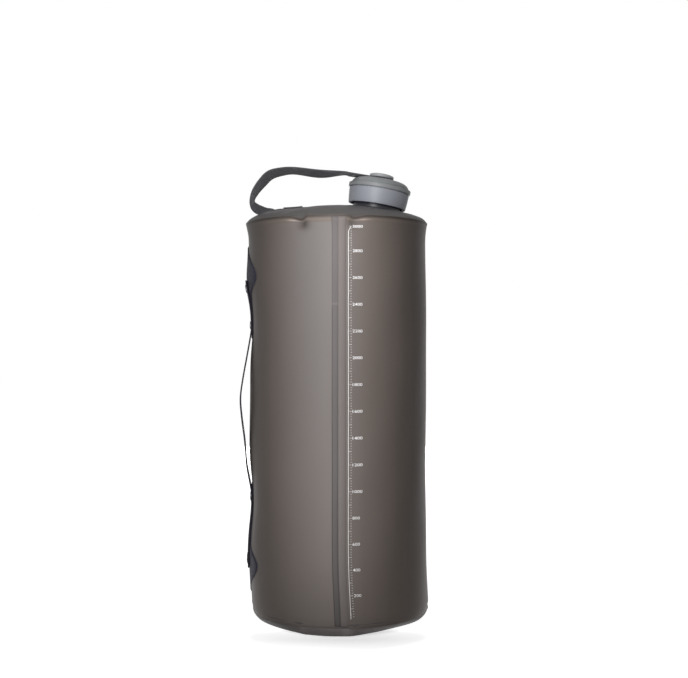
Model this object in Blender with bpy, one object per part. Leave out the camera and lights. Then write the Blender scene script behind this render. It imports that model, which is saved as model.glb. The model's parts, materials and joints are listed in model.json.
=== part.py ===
"""Collapsible water carrier of three litres.

A round film bag with welded panels, a screw cap on a tilted spout, a carry strap from the
lid to the cap, and a webbing handle on the left side. Metres, +Z up, with the origin at the
centre of the base on the floor, and the front towards -Y.
"""

import math

import bmesh
import bpy
from mathutils import Matrix, Vector

# Film body and its welds
film_thickness = 0.0006
seat_gap = 0.0003
wall_radius = 0.0610
wall_height = 0.2690
base_thickness = 0.0008
base_weld_height = 0.0055
top_weld_height = 0.0042
rim_thickness = 0.0006
seam_width = 0.0092
seam_proud = 0.0002
front_seam_azimuth = math.radians(271.1)
back_seam_azimuth = math.radians(90.0)
dome_rise = 0.0135

# Side handle: webbing on two spade-shaped patches, and the wall that it draws in
handle_azimuth = math.radians(184.5)
handle_drop = 0.0750
handle_bottom = 0.0875
handle_bow = 0.0064
webbing_width = 0.0150
webbing_thickness = 0.0010
sewn_above = 0.0420
sewn_below = 0.0535
upper_tail_length = 0.0260
lower_tail_length = 0.0395
tail_overrun = 0.0040
tail_half_width = 0.0090
kite_half_width = 0.0260
kite_flare = 0.0150
kite_point = 0.0220
kite_tip_half_width = 0.0008
dent_depth = 0.0026
dent_half_height = 0.0220
dent_offset = 0.0080
dent_spread = math.radians(24.0)
handle_draw = 0.0004
handle_draw_half_height = 0.0750

# Bar tacks of sewing thread
tack_length = 0.0050
tack_width = 0.0120
tack_height = 0.0003
tack_inset = 0.0030

# Spout, measured along its own tilted axis from the underside of the weld flange
neck_x = 0.0267
neck_sink = 0.0022
neck_tilt = math.radians(9.5)
neck_bore = 0.0142
neck_wall = 0.0022
flange_radius = 0.0234
flange_thickness = 0.0018
spigot_depth = 0.0020
spigot_wall = 0.0014
flat_border = 0.0012
flat_blend = 0.0100

# Screw thread, one start, right handed
thread_pitch = 0.0040
ridge_height = 0.0012
ridge_base = 0.0016
ridge_crest = 0.0009
ridge_embed = 0.0003
thread_clearance = 0.0005
neck_thread_start = 0.0022
neck_thread_turns = 1.4
cap_thread_turns = 1.3

# Cap
skirt_lift = 0.0010
skirt_height = 0.0121
skirt_wall = 0.00195
skirt_taper = 0.0007
skirt_chamfer = 0.0004
roof_thickness = 0.0016
gasket_thickness = 0.0012
gasket_overlap = 0.0002
gasket_width = 0.0030
boss_radius = 0.0055
boss_height = 0.0036
ring_overhang = 0.00075
ring_height = 0.0024
ring_chamfer = 0.0005
shoulder_rise = 0.0034
plateau_radius = 0.01325
crown_wall = 0.0015
crown_seat_width = 0.0025
post_radius = 0.0030
post_clearance = 0.0003
knob_radius = 0.0084
knob_edge = 0.0008
knob_side = 0.0008
knob_dome = 0.0020

# Carry strap, from the tab under the knob to the anchor patch on the lid
strap_width = 0.0150
strap_thickness = 0.0010
eyelet_wall = 0.0012
eyelet_clearance = 0.0001
tab_length = 0.0220
strap_rise = 0.0400
anchor_far_x = -0.0203
anchor_length = 0.0167
anchor_border = 0.0030
anchor_slope = 0.0012
strap_run_in = 0.0045

# Points of curves, as shares of the sizes that they follow
# Handle bow: share of the way down from the upper root, share of the bow
handle_bow_shares = ((0.15, 0.31), (0.30, 0.76), (0.42, 1.0), (0.54, 0.86), (0.69, 0.54), (0.85, 0.31))
# Carry strap: share of the rim radius in x, share of the strap's rise in z, roll in degrees
strap_route_shares = (
    (-0.193, 0.885, 4),
    (-0.502, 0.945, 16),
    (-0.697, 0.915, 22),
    (-0.850, 0.755, 20),
    (-0.955, 0.540, 8),
    (-0.980, 0.405, 0),
    (-0.938, 0.300, -8),
    (-0.838, 0.255, -10),
)
# Lid film: rings from the spout hole to the edge, closer together where the film bends
lid_ring_shares = (0, 0.18, 0.32, 0.48, 0.64, 0.78, 0.88, 0.95, 0.99, 1)
# Wall rows of the left panel are even; the plain right panel needs only a few
left_wall_rows = 20
right_wall_rows = 6

# Fineness of round pieces
body_steps = 60
cap_steps = 40
small_steps = 28
thread_steps_per_turn = 24

# Worked out from the sizes above
wall_inner = wall_radius - film_thickness
lip_radius = wall_inner - seat_gap
lip_inner = lip_radius - film_thickness
rim_inner = wall_radius + seam_proud + seat_gap
rim_outer = rim_inner + rim_thickness
patch_lift = seat_gap
patch_top = patch_lift + film_thickness
webbing_lift = patch_top + seat_gap
webbing_top = webbing_lift + webbing_thickness
tack_lift = webbing_top + seat_gap
handle_top = wall_height - handle_drop
strap_stack = seat_gap + strap_thickness + seat_gap
strap_edge = strap_width / 2 + seat_gap
strap_end_x = anchor_far_x - anchor_border - anchor_slope - seat_gap
anchor_half_width = strap_edge + anchor_slope + anchor_border
handle_middle = (handle_top + handle_bottom) / 2

neck_outer = neck_bore + neck_wall
spigot_radius = neck_bore + spigot_wall
lid_hole_radius = spigot_radius + seat_gap
flat_radius = flange_radius + flat_border
skirt_bottom = flange_thickness + skirt_lift
skirt_top = skirt_bottom + skirt_height
roof_under = skirt_top - roof_thickness
gasket_top = roof_under - seat_gap
gasket_bottom = gasket_top - gasket_thickness
neck_lip = gasket_bottom - seat_gap
cap_bore = neck_outer + ridge_height + thread_clearance
skirt_radius_bottom = cap_bore + skirt_wall
skirt_radius_top = skirt_radius_bottom + skirt_taper
crown_bottom = skirt_top + seat_gap
ring_radius = skirt_radius_top + ring_overhang
ring_top = crown_bottom + ring_height
plateau = ring_top + shoulder_rise
post_hole = post_radius + post_clearance
post_bottom = skirt_top + seat_gap + seat_gap
boss_top = skirt_top + boss_height
tab_bottom = plateau + seat_gap
tab_top = tab_bottom + strap_thickness
knob_bottom = tab_top + seat_gap
eyelet_inner = post_hole + eyelet_clearance
eyelet_outer = eyelet_inner + eyelet_wall
tab_hole = eyelet_outer + seat_gap

# Finishes: colour, roughness, metallic
FILM = ((0.115, 0.098, 0.086), 0.55, 0.0)
WELDED_FILM = ((0.165, 0.155, 0.150), 0.50, 0.0)
DARK_MOULDING = ((0.012, 0.012, 0.020), 0.45, 0.0)
WEBBING = ((0.035, 0.034, 0.042), 0.90, 0.0)
THREAD = ((0.050, 0.050, 0.056), 0.80, 0.0)
CAP_GREY = ((0.275, 0.285, 0.325), 0.42, 0.0)
CROWN_GREY = ((0.245, 0.255, 0.255), 0.60, 0.0)
SEAL = ((0.500, 0.500, 0.490), 0.70, 0.0)


def clear_scene():
    """Start from an empty scene."""
    for old in list(bpy.data.objects):
        bpy.data.objects.remove(old, do_unlink=True)


def add_part(name, bm, finish, parent=None, sharp_angle=math.radians(35.0)):
    """Turn a closed bmesh into a named object with its own material."""
    bmesh.ops.recalc_face_normals(bm, faces=bm.faces)
    mesh = bpy.data.meshes.new(name)
    bm.to_mesh(mesh)
    bm.free()
    mesh.shade_smooth()
    mesh.set_sharp_from_angle(angle=sharp_angle)
    part = bpy.data.objects.new(name, mesh)
    bpy.context.scene.collection.objects.link(part)
    colour, roughness, metallic = finish
    material = bpy.data.materials.new(name + "_finish")
    material.use_nodes = True
    shader = material.node_tree.nodes["Principled BSDF"]
    shader.inputs["Base Color"].default_value = (*colour, 1.0)
    shader.inputs["Roughness"].default_value = roughness
    shader.inputs["Metallic"].default_value = metallic
    mesh.materials.append(material)
    part.parent = parent
    return part


def plate(name, low, high, finish, parent=None):
    """A solid between two open grids of points that have the same rows and columns."""
    bm = bmesh.new()
    grids = [[[bm.verts.new(point) for point in row] for row in grid] for grid in (low, high)]
    rows, columns = len(low), len(low[0])
    for grid in grids:
        for i in range(rows - 1):
            for j in range(columns - 1):
                bm.faces.new((grid[i][j], grid[i][j + 1], grid[i + 1][j + 1], grid[i + 1][j]))
    border = [(0, j) for j in range(columns - 1)]
    border += [(i, columns - 1) for i in range(rows - 1)]
    border += [(rows - 1, j) for j in range(columns - 1, 0, -1)]
    border += [(i, 0) for i in range(rows - 1, 0, -1)]
    under, over = grids
    for (i, j), (k, m) in zip(border, border[1:] + border[:1]):
        bm.faces.new((under[i][j], under[k][m], over[k][m], over[i][j]))
    return add_part(name, bm, finish, parent)


def ring_solid(name, rings, finish, parent=None):
    """A solid with a hole: closed rings of points, each joined to the next and the last to the first."""
    bm = bmesh.new()
    loops = [[bm.verts.new(point) for point in ring] for ring in rings]
    for one, two in zip(loops, loops[1:] + loops[:1]):
        for j in range(len(one)):
            k = (j + 1) % len(one)
            bm.faces.new((one[j], one[k], two[k], two[j]))
    return add_part(name, bm, finish, parent)


def turned(name, profile, steps, finish, closed=True, parent=None):
    """A solid turned about Z from (radius, height) points: a closed outline clear of the axis,
    or an open one with both ends on it."""
    bm = bmesh.new()
    points = [bm.verts.new((radius, 0, height)) for radius, height in profile]
    pairs = list(zip(points, points[1:])) + ([(points[-1], points[0])] if closed else [])
    edges = [bm.edges.new(pair) for pair in pairs]
    bmesh.ops.spin(
        bm, geom=points + edges, axis=(0, 0, 1), cent=(0, 0, 0), angle=math.tau, steps=steps, use_merge=True
    )
    bmesh.ops.remove_doubles(bm, verts=bm.verts, dist=seat_gap / 100)
    return add_part(name, bm, finish, parent)


def spaced(start, end, count):
    """Evenly spaced values from start to end, count steps apart."""
    return [start + (end - start) * i / count for i in range(count + 1)]


def eased(share):
    """Smooth step from 0 to 1."""
    share = min(max(share, 0.0), 1.0)
    return share * share * (3 - 2 * share)


def mixed(one, two, share):
    """A value between two others."""
    return one + (two - one) * share


def smooth_route(points, steps):
    """Points along a smooth curve through the given ones, with steps between each pair."""
    padded = [2 * points[0] - points[1], *points, 2 * points[-1] - points[-2]]
    route = []
    for before, start, end, after in zip(padded, padded[1:], padded[2:], padded[3:]):
        for i in range(steps):
            t = i / steps
            straight = 2 * start + (end - before) * t
            bend = (2 * before - 5 * start + 4 * end - after) * t**2
            twist = (3 * start - before - 3 * end + after) * t**3
            route.append((straight + bend + twist) / 2)
    return route + [points[-1]]


def wall_radius_at(azimuth, height):
    """Outside radius of the wall, which the side handle draws in at its two roots."""
    turn = (azimuth - handle_azimuth + math.pi) % math.tau - math.pi
    across = math.exp(-((turn / dent_spread) ** 2))
    draw = handle_draw * math.exp(-(((height - handle_middle) / handle_draw_half_height) ** 4))
    for root in (handle_top + dent_offset, handle_bottom - dent_offset):
        draw += dent_depth * math.exp(-(((height - root) / dent_half_height) ** 2))
    return wall_radius - across * draw


def around(azimuth, radius, height):
    """A point at an azimuth and a radius about the body's axis."""
    return Vector((radius * math.cos(azimuth), radius * math.sin(azimuth), height))


def wall_plate(name, azimuths, heights, low, high, finish):
    """A curved plate that follows the wall, between two offsets from its outside."""
    under, over = (
        [[around(a, wall_radius_at(a, z) + lift, z) for a in azimuths] for z in heights] for lift in (low, high)
    )
    return plate(name, under, over, finish)


def wall_panels():
    """The two film panels of the wall, which stop at the seam strips."""
    seam_half = (seam_width / 2 + seat_gap) / wall_radius
    front = front_seam_azimuth - seam_half
    back = back_seam_azimuth + seam_half
    half_steps = body_steps // 2
    left = spaced(back, front, half_steps)
    right = spaced(front + 2 * seam_half, back - 2 * seam_half + math.tau, half_steps)
    wall_plate("left_wall_panel", left, spaced(0, wall_height, left_wall_rows), -film_thickness, 0, FILM)
    wall_plate("right_wall_panel", right, spaced(0, wall_height, right_wall_rows), -film_thickness, 0, FILM)


def seam_strips():
    """The welded laps at the front and the back, a little proud of the wall."""
    seam_half = seam_width / 2 / wall_radius
    for name, azimuth in (("front_seam_strip", front_seam_azimuth), ("back_seam_strip", back_seam_azimuth)):
        azimuths = spaced(azimuth - seam_half, azimuth + seam_half, 4)
        heights = spaced(0, wall_height, right_wall_rows)
        wall_plate(name, azimuths, heights, -film_thickness, seam_proud, WELDED_FILM)


def weld_rim(name, bottom, top):
    """A welded band outside the wall."""
    profile = ((rim_inner, bottom), (rim_outer, bottom), (rim_outer, top), (rim_inner, top))
    turned(name, profile, body_steps, WELDED_FILM)


def base_panel():
    """Round film base, flat on the floor, with its lip turned up inside the wall."""
    profile = (
        (0, 0),
        (lip_radius, 0),
        (lip_radius, base_weld_height),
        (lip_inner, base_weld_height),
        (lip_inner, base_thickness),
        (0, base_thickness),
    )
    turned("base_panel", profile, body_steps, FILM, closed=False)


def dome_height(x, y, radius, rise):
    """Height of the free dome of the lid, half an ellipse over the wall's top edge."""
    return wall_height + rise * math.sqrt(max(0.0, 1 - (x * x + y * y) / radius**2))


neck_z = dome_height(neck_x, 0, lip_radius, dome_rise) - neck_sink


def lid_height(x, y, depth=0.0):
    """Height of the lid film at a depth below its top: a dome that is flat under the spout's flange."""
    dome = dome_height(x, y, lip_radius - depth, dome_rise - depth)
    flat = neck_z - (x - neck_x) * math.tan(neck_tilt) - (seat_gap + depth) / math.cos(neck_tilt)
    away = math.hypot(x - neck_x, y)
    return mixed(flat, dome, eased((away - flat_radius) / flat_blend))


def top_panel():
    """Domed film lid with the spout's hole, and its lip turned down inside the wall."""
    turns = spaced(0, math.tau, body_steps)[:-1]

    def ring(share, edge_radius, depth):
        points = []
        for turn in turns:
            hole_x = neck_x + lid_hole_radius * math.cos(turn) * math.cos(neck_tilt)
            x = mixed(hole_x, edge_radius * math.cos(turn), share)
            y = mixed(lid_hole_radius, edge_radius, share) * math.sin(turn)
            points.append(Vector((x, y, lid_height(x, y, depth))))
        return points

    def lip_ring(radius):
        return [around(turn, radius, wall_height - top_weld_height) for turn in turns]

    outside = [ring(share, lip_radius, 0.0) for share in lid_ring_shares]
    inside = [ring(share, lip_inner, film_thickness) for share in reversed(lid_ring_shares)]
    ring_solid("top_panel", outside + [lip_ring(lip_radius), lip_ring(lip_inner)] + inside, FILM)


def side_patch(name, root, way, tail_length):
    """A film patch on the wall: a tail along the handle's root, then a kite that runs to a point."""
    stretches = (
        (tail_length, tail_half_width, tail_half_width, 5),
        (kite_flare, tail_half_width, kite_half_width, 4),
        (kite_point, kite_half_width, kite_tip_half_width, 6),
    )
    rows = [(root - way * tail_overrun, tail_half_width)]
    start = rows[0][0]
    for length, width_in, width_out, steps in stretches:
        for share in spaced(0, 1, steps)[1:]:
            rows.append((start + way * length * share, mixed(width_in, width_out, eased(share))))
        start += way * length
    columns = spaced(-1, 1, 10)

    def grid(lift):
        return [
            [
                around(angle, wall_radius_at(angle, height) + lift, height)
                for angle in (handle_azimuth + column * width / wall_radius for column in columns)
            ]
            for height, width in rows
        ]

    plate(name, grid(patch_lift), grid(patch_top), FILM)


def handle_route():
    """Centre line of the handle's webbing from its upper end down, as radius and height."""
    half = webbing_thickness / 2

    def sewn(height):
        return Vector((wall_radius_at(handle_azimuth, height) + webbing_lift + half, height))

    points = [sewn(z) for z in spaced(handle_top + sewn_above, handle_top, 6)]
    for down, out in handle_bow_shares:
        height = mixed(handle_top, handle_bottom, down)
        points.append(Vector((wall_radius + out * handle_bow - half, height)))
    points += [sewn(z) for z in spaced(handle_bottom, handle_bottom - sewn_below, 7)]
    return smooth_route(points, 3)


def side_handle_webbing():
    """Webbing strip, sewn down at both ends and bowed out from the wall between them."""
    route = handle_route()
    outward = around(handle_azimuth, 1, 0)
    sideways = Vector((-outward.y, outward.x, 0))
    grids = ([], [])
    for before, here, after in zip(route[:1] + route, route, route[1:] + route[-1:]):
        along = (after - before).normalized()
        normal = -outward * along.y + Vector((0, 0, along.x))
        centre = outward * here.x + Vector((0, 0, here.y))
        for grid, side in zip(grids, (-webbing_thickness / 2, webbing_thickness / 2)):
            middle = centre + normal * side
            grid.append([middle + sideways * edge for edge in (-webbing_width / 2, webbing_width / 2)])
    plate("side_handle_webbing", grids[0], grids[1], WEBBING)


def handle_bartacks():
    """Thread tacks on the webbing: one near each end, and one at each root of the free bow."""
    places = (
        ("upper_end_bartack", handle_top + sewn_above - tack_inset, -1),
        ("upper_root_bartack", handle_top + tack_inset, 1),
        ("lower_root_bartack", handle_bottom - tack_inset, -1),
        ("lower_end_bartack", handle_bottom - sewn_below + tack_inset, 1),
    )
    outward = around(handle_azimuth, 1, 0)
    sideways = Vector((-outward.y, outward.x, 0))
    for name, start, way in places:
        heights = spaced(start, start + way * tack_length, 2)
        grids = [
            [
                [
                    outward * (wall_radius_at(handle_azimuth, z) + lift) + sideways * edge + Vector((0, 0, z))
                    for edge in (-tack_width / 2, tack_width / 2)
                ]
                for z in heights
            ]
            for lift in (tack_lift, tack_lift + tack_height)
        ]
        plate(name, grids[0], grids[1], THREAD)


def strap_anchor():
    """Film patch on the lid, which lies over the end of the carry strap and comes down to the lid round it."""
    slope_shares = spaced(0, 1, 4)
    half_ys = [0, strap_edge / 2, *(strap_edge + anchor_slope * share for share in slope_shares)]
    half_ys.append(anchor_half_width)
    ys = [-y for y in half_ys[:0:-1]] + half_ys
    xs = spaced(anchor_far_x - anchor_length, strap_end_x, 5)
    xs += [strap_end_x + seat_gap + anchor_slope * share for share in slope_shares] + [anchor_far_x]

    def height(x, y):
        past_strap = max(abs(y) - strap_edge, x - strap_end_x - seat_gap)
        over_strap = lid_height(x, 0) + strap_stack
        return mixed(over_strap, lid_height(x, y) + patch_lift, eased(past_strap / anchor_slope))

    grids = [[[Vector((x, y, height(x, y) + lift)) for y in ys] for x in xs] for lift in (0, film_thickness)]
    plate("strap_anchor_patch", grids[0], grids[1], FILM)


def carry_strap(neck_place):
    """Webbing from the tab at the cap, over in a long arch, and back onto the lid's patch."""
    half = strap_thickness / 2
    start = neck_place @ Vector((-tab_length - seat_gap, 0, tab_bottom + half))
    ahead = neck_place @ Vector((-tab_length - seat_gap - strap_run_in, 0, tab_bottom + half))
    points = [start.to_4d(), ahead.to_4d()]
    for point in points:
        point.w = 0.0
    for x_share, z_share, roll in strap_route_shares:
        place = (x_share * rim_outer, 0, wall_height + z_share * strap_rise, math.radians(roll))
        points.append(Vector(place))
    for x in spaced(anchor_far_x - anchor_length - strap_run_in, strap_end_x, 5):
        points.append(Vector((x, 0, lid_height(x, 0) + seat_gap + half, 0)))
    route = smooth_route(points, 4)
    grids = ([], [])
    for before, here, after in zip(route[:1] + route, route, route[1:] + route[-1:]):
        along = (after - before).to_3d().normalized()
        if here is route[0]:
            along = (ahead - start).normalized()
        sideways = Matrix.Rotation(here.w, 3, along) @ Vector((0, 1, 0))
        normal = along.cross(sideways)
        for grid, side in zip(grids, (-half, half)):
            centre = here.to_3d() + normal * side
            grid.append([centre + sideways * edge for edge in (-strap_width / 2, strap_width / 2)])
    plate("carry_strap", grids[0], grids[1], WEBBING)


def carry_strap_tab(neck_axis):
    """End of the strap under the knob: a round-ended tab with a hole for the eyelet."""
    half = strap_width / 2
    turns = spaced(-math.pi / 2, math.pi / 2, 12)
    outline = [Vector((half * math.cos(turn), half * math.sin(turn))) for turn in turns]
    outline += [Vector((-x, half)) for x in spaced(0, tab_length, 6)[1:]]
    outline += [Vector((-tab_length, y)) for y in spaced(half, -half, 4)[1:-1]]
    outline += [Vector((-x, -half)) for x in spaced(tab_length, 0, 6)[:-1]]
    hole = [point.normalized() * tab_hole for point in outline]
    rings = [
        [Vector((point.x, point.y, height)) for point in loop]
        for loop, height in ((outline, tab_bottom), (outline, tab_top), (hole, tab_top), (hole, tab_bottom))
    ]
    ring_solid("carry_strap_tab", rings, WEBBING, neck_axis)


def strap_eyelet(neck_axis):
    """Moulded ring in the tab's hole, round the knob's post."""
    profile = (
        (eyelet_inner, tab_bottom),
        (eyelet_outer, tab_bottom),
        (eyelet_outer, tab_top),
        (eyelet_inner, tab_top),
    )
    turned("strap_eyelet", profile, small_steps, DARK_MOULDING, parent=neck_axis)


def thread_ridge(name, wall, outward, start, first_turn, turns, neck_axis):
    """A helical ridge on a cylinder wall, faded out at both ends, as a guide to join to its piece."""
    steps = round(turns * thread_steps_per_turn)
    fade_steps = thread_steps_per_turn // 6
    sections = []
    for i in range(steps + 1):
        turn = (first_turn + i / thread_steps_per_turn) * math.tau
        height = start + thread_pitch * turn / math.tau
        fade = eased(min(i, steps - i) / fade_steps)
        foot = wall - outward * ridge_embed
        crest = mixed(wall - outward * ridge_embed / 2, wall + outward * ridge_height, fade)
        corners = (
            (foot, -ridge_base / 2),
            (crest, -ridge_crest / 2),
            (crest, ridge_crest / 2),
            (foot, ridge_base / 2),
        )
        sections.append([around(turn, radius, height + rise) for radius, rise in corners])
    bm = bmesh.new()
    loops = [[bm.verts.new(point) for point in section] for section in sections]
    for one, two in zip(loops, loops[1:]):
        for j in range(len(one)):
            k = (j + 1) % len(one)
            bm.faces.new((one[j], one[k], two[k], two[j]))
    bm.faces.new(loops[0])
    bm.faces.new(loops[-1])
    ridge = add_part(name, bm, DARK_MOULDING, neck_axis)
    ridge.hide_render = True
    ridge.display_type = "WIRE"
    return ridge


def join_ridge(part, ridge):
    """Join a thread ridge to its piece."""
    union = part.modifiers.new("thread", "BOOLEAN")
    union.operation = "UNION"
    union.object = ridge


def spout_neck(neck_axis):
    """Moulded spout: spigot through the lid's hole, weld flange, and a threaded neck."""
    profile = (
        (neck_bore, -spigot_depth),
        (spigot_radius, -spigot_depth),
        (spigot_radius, 0),
        (flange_radius, 0),
        (flange_radius, flange_thickness / 2),
        (flange_radius - flange_thickness / 2, flange_thickness),
        (neck_outer, flange_thickness),
        (neck_outer, neck_lip - skirt_chamfer),
        (neck_outer - skirt_chamfer, neck_lip),
        (neck_bore, neck_lip),
    )
    neck = turned("spout_neck", profile, cap_steps, DARK_MOULDING, parent=neck_axis)
    start = flange_thickness + neck_thread_start
    join_ridge(neck, thread_ridge("neck_thread_guide", neck_outer, 1, start, 0, neck_thread_turns, neck_axis))


def cap_shell(neck_axis):
    """Threaded skirt and roof of the cap, with a boss that takes the knob's post."""
    profile = (
        (0, roof_under),
        (cap_bore, roof_under),
        (cap_bore, skirt_bottom + skirt_chamfer),
        (cap_bore + skirt_chamfer, skirt_bottom),
        (skirt_radius_bottom - skirt_chamfer, skirt_bottom),
        (skirt_radius_bottom, skirt_bottom + skirt_chamfer),
        (skirt_radius_top, skirt_top - skirt_chamfer),
        (skirt_radius_top - skirt_chamfer, skirt_top),
        (boss_radius, skirt_top),
        (boss_radius, boss_top),
        (post_hole, boss_top),
        (post_hole, skirt_top + seat_gap),
        (0, skirt_top + seat_gap),
    )
    shell = turned("cap_shell", profile, cap_steps, CAP_GREY, closed=False, parent=neck_axis)
    start = flange_thickness + neck_thread_start + thread_pitch / 2
    first = -(start - ridge_base / 2 - skirt_bottom - skirt_chamfer - seat_gap) / thread_pitch
    join_ridge(shell, thread_ridge("cap_thread_guide", cap_bore, -1, start, first, cap_thread_turns, neck_axis))


def cap_crown(neck_axis):
    """Domed cover of the cap, hollow inside, with a proud ring at its foot."""
    inner_top = plateau - crown_wall
    inner_foot = skirt_radius_top - crown_seat_width
    quarter = spaced(0, math.pi / 2, 6)

    def shoulder(reach, foot, rise):
        return [(plateau_radius + reach * math.cos(turn), foot + rise * math.sin(turn)) for turn in quarter]

    outside = shoulder(ring_radius - ring_chamfer - plateau_radius, ring_top, shoulder_rise)
    inside = shoulder(inner_foot - plateau_radius, ring_top - crown_wall, shoulder_rise)
    profile = (
        [(post_hole, inner_top)]
        + inside[::-1]
        + [
            (inner_foot, crown_bottom),
            (ring_radius - ring_chamfer, crown_bottom),
            (ring_radius, crown_bottom + ring_chamfer),
            (ring_radius, ring_top - ring_chamfer),
        ]
        + outside
        + [(post_hole, plateau)]
    )
    turned("cap_crown", profile, cap_steps, CROWN_GREY, parent=neck_axis)


def cap_knob(neck_axis):
    """Low domed button on a post, which stands in the boss and keeps the strap's tab on the cap."""
    side_top = knob_bottom + knob_edge + knob_side
    quarter = spaced(0, math.pi / 2, 6)
    dome = [(knob_radius * math.cos(turn), side_top + knob_dome * math.sin(turn)) for turn in quarter]
    profile = [
        (0, post_bottom),
        (post_radius, post_bottom),
        (post_radius, knob_bottom),
        (knob_radius - knob_edge, knob_bottom),
        (knob_radius, knob_bottom + knob_edge),
    ]
    profile += dome[:-1] + [(0, dome[-1][1])]
    turned("cap_knob", profile, small_steps, CROWN_GREY, closed=False, parent=neck_axis)


def cap_gasket(neck_axis):
    """Flat seal ring between the cap's roof and the spout's lip."""
    inner = neck_bore - gasket_overlap
    profile = (
        (inner, gasket_bottom),
        (inner + gasket_width, gasket_bottom),
        (inner + gasket_width, gasket_top),
        (inner, gasket_top),
    )
    turned("cap_gasket", profile, cap_steps, SEAL, parent=neck_axis)


def neck_axis_empty():
    """Empty on the spout's axis, at the underside of its flange, that carries the spout and the cap."""
    axis = bpy.data.objects.new("neck_axis", None)
    axis.location = (neck_x, 0, neck_z)
    axis.rotation_euler = (0, neck_tilt, 0)
    bpy.context.scene.collection.objects.link(axis)
    return axis


def build_carrier():
    """Build every piece of the carrier in its place."""
    clear_scene()
    base_panel()
    weld_rim("bottom_weld_rim", 0, base_weld_height)
    wall_panels()
    seam_strips()
    side_patch("upper_side_patch", handle_top, 1, tail_overrun + upper_tail_length)
    side_patch("lower_side_patch", handle_bottom, -1, tail_overrun + lower_tail_length)
    side_handle_webbing()
    handle_bartacks()
    top_panel()
    weld_rim("top_weld_rim", wall_height - top_weld_height, wall_height)
    strap_anchor()
    neck_axis = neck_axis_empty()
    neck_place = Matrix.Translation((neck_x, 0, neck_z)) @ Matrix.Rotation(neck_tilt, 4, "Y")
    carry_strap(neck_place)
    carry_strap_tab(neck_axis)
    strap_eyelet(neck_axis)
    spout_neck(neck_axis)
    cap_shell(neck_axis)
    cap_crown(neck_axis)
    cap_knob(neck_axis)
    cap_gasket(neck_axis)


build_carrier()
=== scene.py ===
"""Dresses the packed collapsible water carrier: film, welds, webbing, mouldings and the printed scale.

Metres, +Z up, with the origin at the centre of the base and the front towards -Y.
"""

import contextlib
import functools
import json
import math
from types import SimpleNamespace

import bmesh
import bpy
from bpy.props import FloatProperty, FloatVectorProperty, IntProperty, PointerProperty
from bpy.types import Operator, Panel, PropertyGroup
from mathutils import Matrix, Vector

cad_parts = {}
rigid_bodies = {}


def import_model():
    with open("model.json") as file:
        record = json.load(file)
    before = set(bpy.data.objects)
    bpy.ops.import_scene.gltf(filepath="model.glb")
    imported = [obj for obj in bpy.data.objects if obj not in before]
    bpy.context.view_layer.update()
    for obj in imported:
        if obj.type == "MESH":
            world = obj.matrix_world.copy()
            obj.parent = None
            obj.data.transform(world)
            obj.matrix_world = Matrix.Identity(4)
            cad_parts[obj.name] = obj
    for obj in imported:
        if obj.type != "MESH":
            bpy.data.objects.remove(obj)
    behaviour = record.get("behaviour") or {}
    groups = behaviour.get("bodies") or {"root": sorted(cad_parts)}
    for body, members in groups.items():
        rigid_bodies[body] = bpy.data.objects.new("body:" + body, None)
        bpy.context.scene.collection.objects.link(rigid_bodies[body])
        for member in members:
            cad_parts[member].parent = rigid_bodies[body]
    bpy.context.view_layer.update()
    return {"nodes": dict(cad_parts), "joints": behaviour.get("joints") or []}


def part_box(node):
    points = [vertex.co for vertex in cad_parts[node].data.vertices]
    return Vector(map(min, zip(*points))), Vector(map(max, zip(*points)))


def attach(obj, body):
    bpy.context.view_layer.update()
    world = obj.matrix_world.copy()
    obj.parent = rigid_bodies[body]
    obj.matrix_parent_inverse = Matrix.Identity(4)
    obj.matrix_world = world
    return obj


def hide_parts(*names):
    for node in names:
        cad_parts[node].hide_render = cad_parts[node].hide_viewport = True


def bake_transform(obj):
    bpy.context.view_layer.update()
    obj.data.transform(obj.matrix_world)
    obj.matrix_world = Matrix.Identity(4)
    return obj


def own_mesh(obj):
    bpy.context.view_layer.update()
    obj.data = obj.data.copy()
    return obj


bl_info = {
    "name": "Collapsible water carrier",
    "version": (1, 0, 0),
    "blender": (4, 5, 0),
    "location": "3D View > Sidebar > Carrier",
    "description": "Film, webbing, mouldings and a printed scale for the packed water carrier",
    "category": "Object",
}

for leftover in list(bpy.data.objects):
    bpy.data.objects.remove(leftover, do_unlink=True)
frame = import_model()


def reach(node):
    """Largest distance of a CAD node from the body's axis."""
    return max(math.hypot(v.co.x, v.co.y) for v in frame["nodes"][node].data.vertices)


def joint_named(name):
    """A joint of the frame."""
    return next(joint for joint in frame["joints"] if joint["name"] == name)


def cap_place():
    """Place of the spout's axis, at the underside of the weld flange, with Z along the axis."""
    joint = joint_named("cap_turn")
    turn = Vector((0, 0, 1)).rotation_difference(Vector(joint["axis"]))
    return Matrix.Translation(joint["pos_m"]) @ turn.to_matrix().to_4x4()


CAP_PLACE = cap_place()


@functools.cache
def cap_span(node):
    """Lowest height, highest height and largest radius of a CAD node, measured on the spout's axis."""
    inverse = CAP_PLACE.inverted()
    points = [inverse @ v.co for v in frame["nodes"][node].data.vertices]
    heights = [point.z for point in points]
    return min(heights), max(heights), max(math.hypot(point.x, point.y) for point in points)


WALL_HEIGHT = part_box("right_wall_panel")[1].z
COLLAPSE = -min(joint_named("collapse")["range_m"])
# Height of the wall's foot that keeps its shape when the bag collapses; finished() works out a share from it
# but squashes nothing
SQUASH_FOOT = 0.0045
# Gap that the frame keeps between two parts that touch
SEAT_GAP = 0.0003
# Thickness of the carry strap, whose end also lies under the cap's knob
STRAP_THICKNESS = 0.0010
# Wall of the spigot under the spout's flange, which stands in the lid's hole
SPIGOT_WALL = 0.0014


def length(name, default, description):
    """A length property."""
    return FloatProperty(name=name, description=description, default=default, unit="LENGTH", precision=5)


def angle(name, degrees, description):
    """An angle property."""
    return FloatProperty(name=name, description=description, default=math.radians(degrees), subtype="ANGLE")


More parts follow.
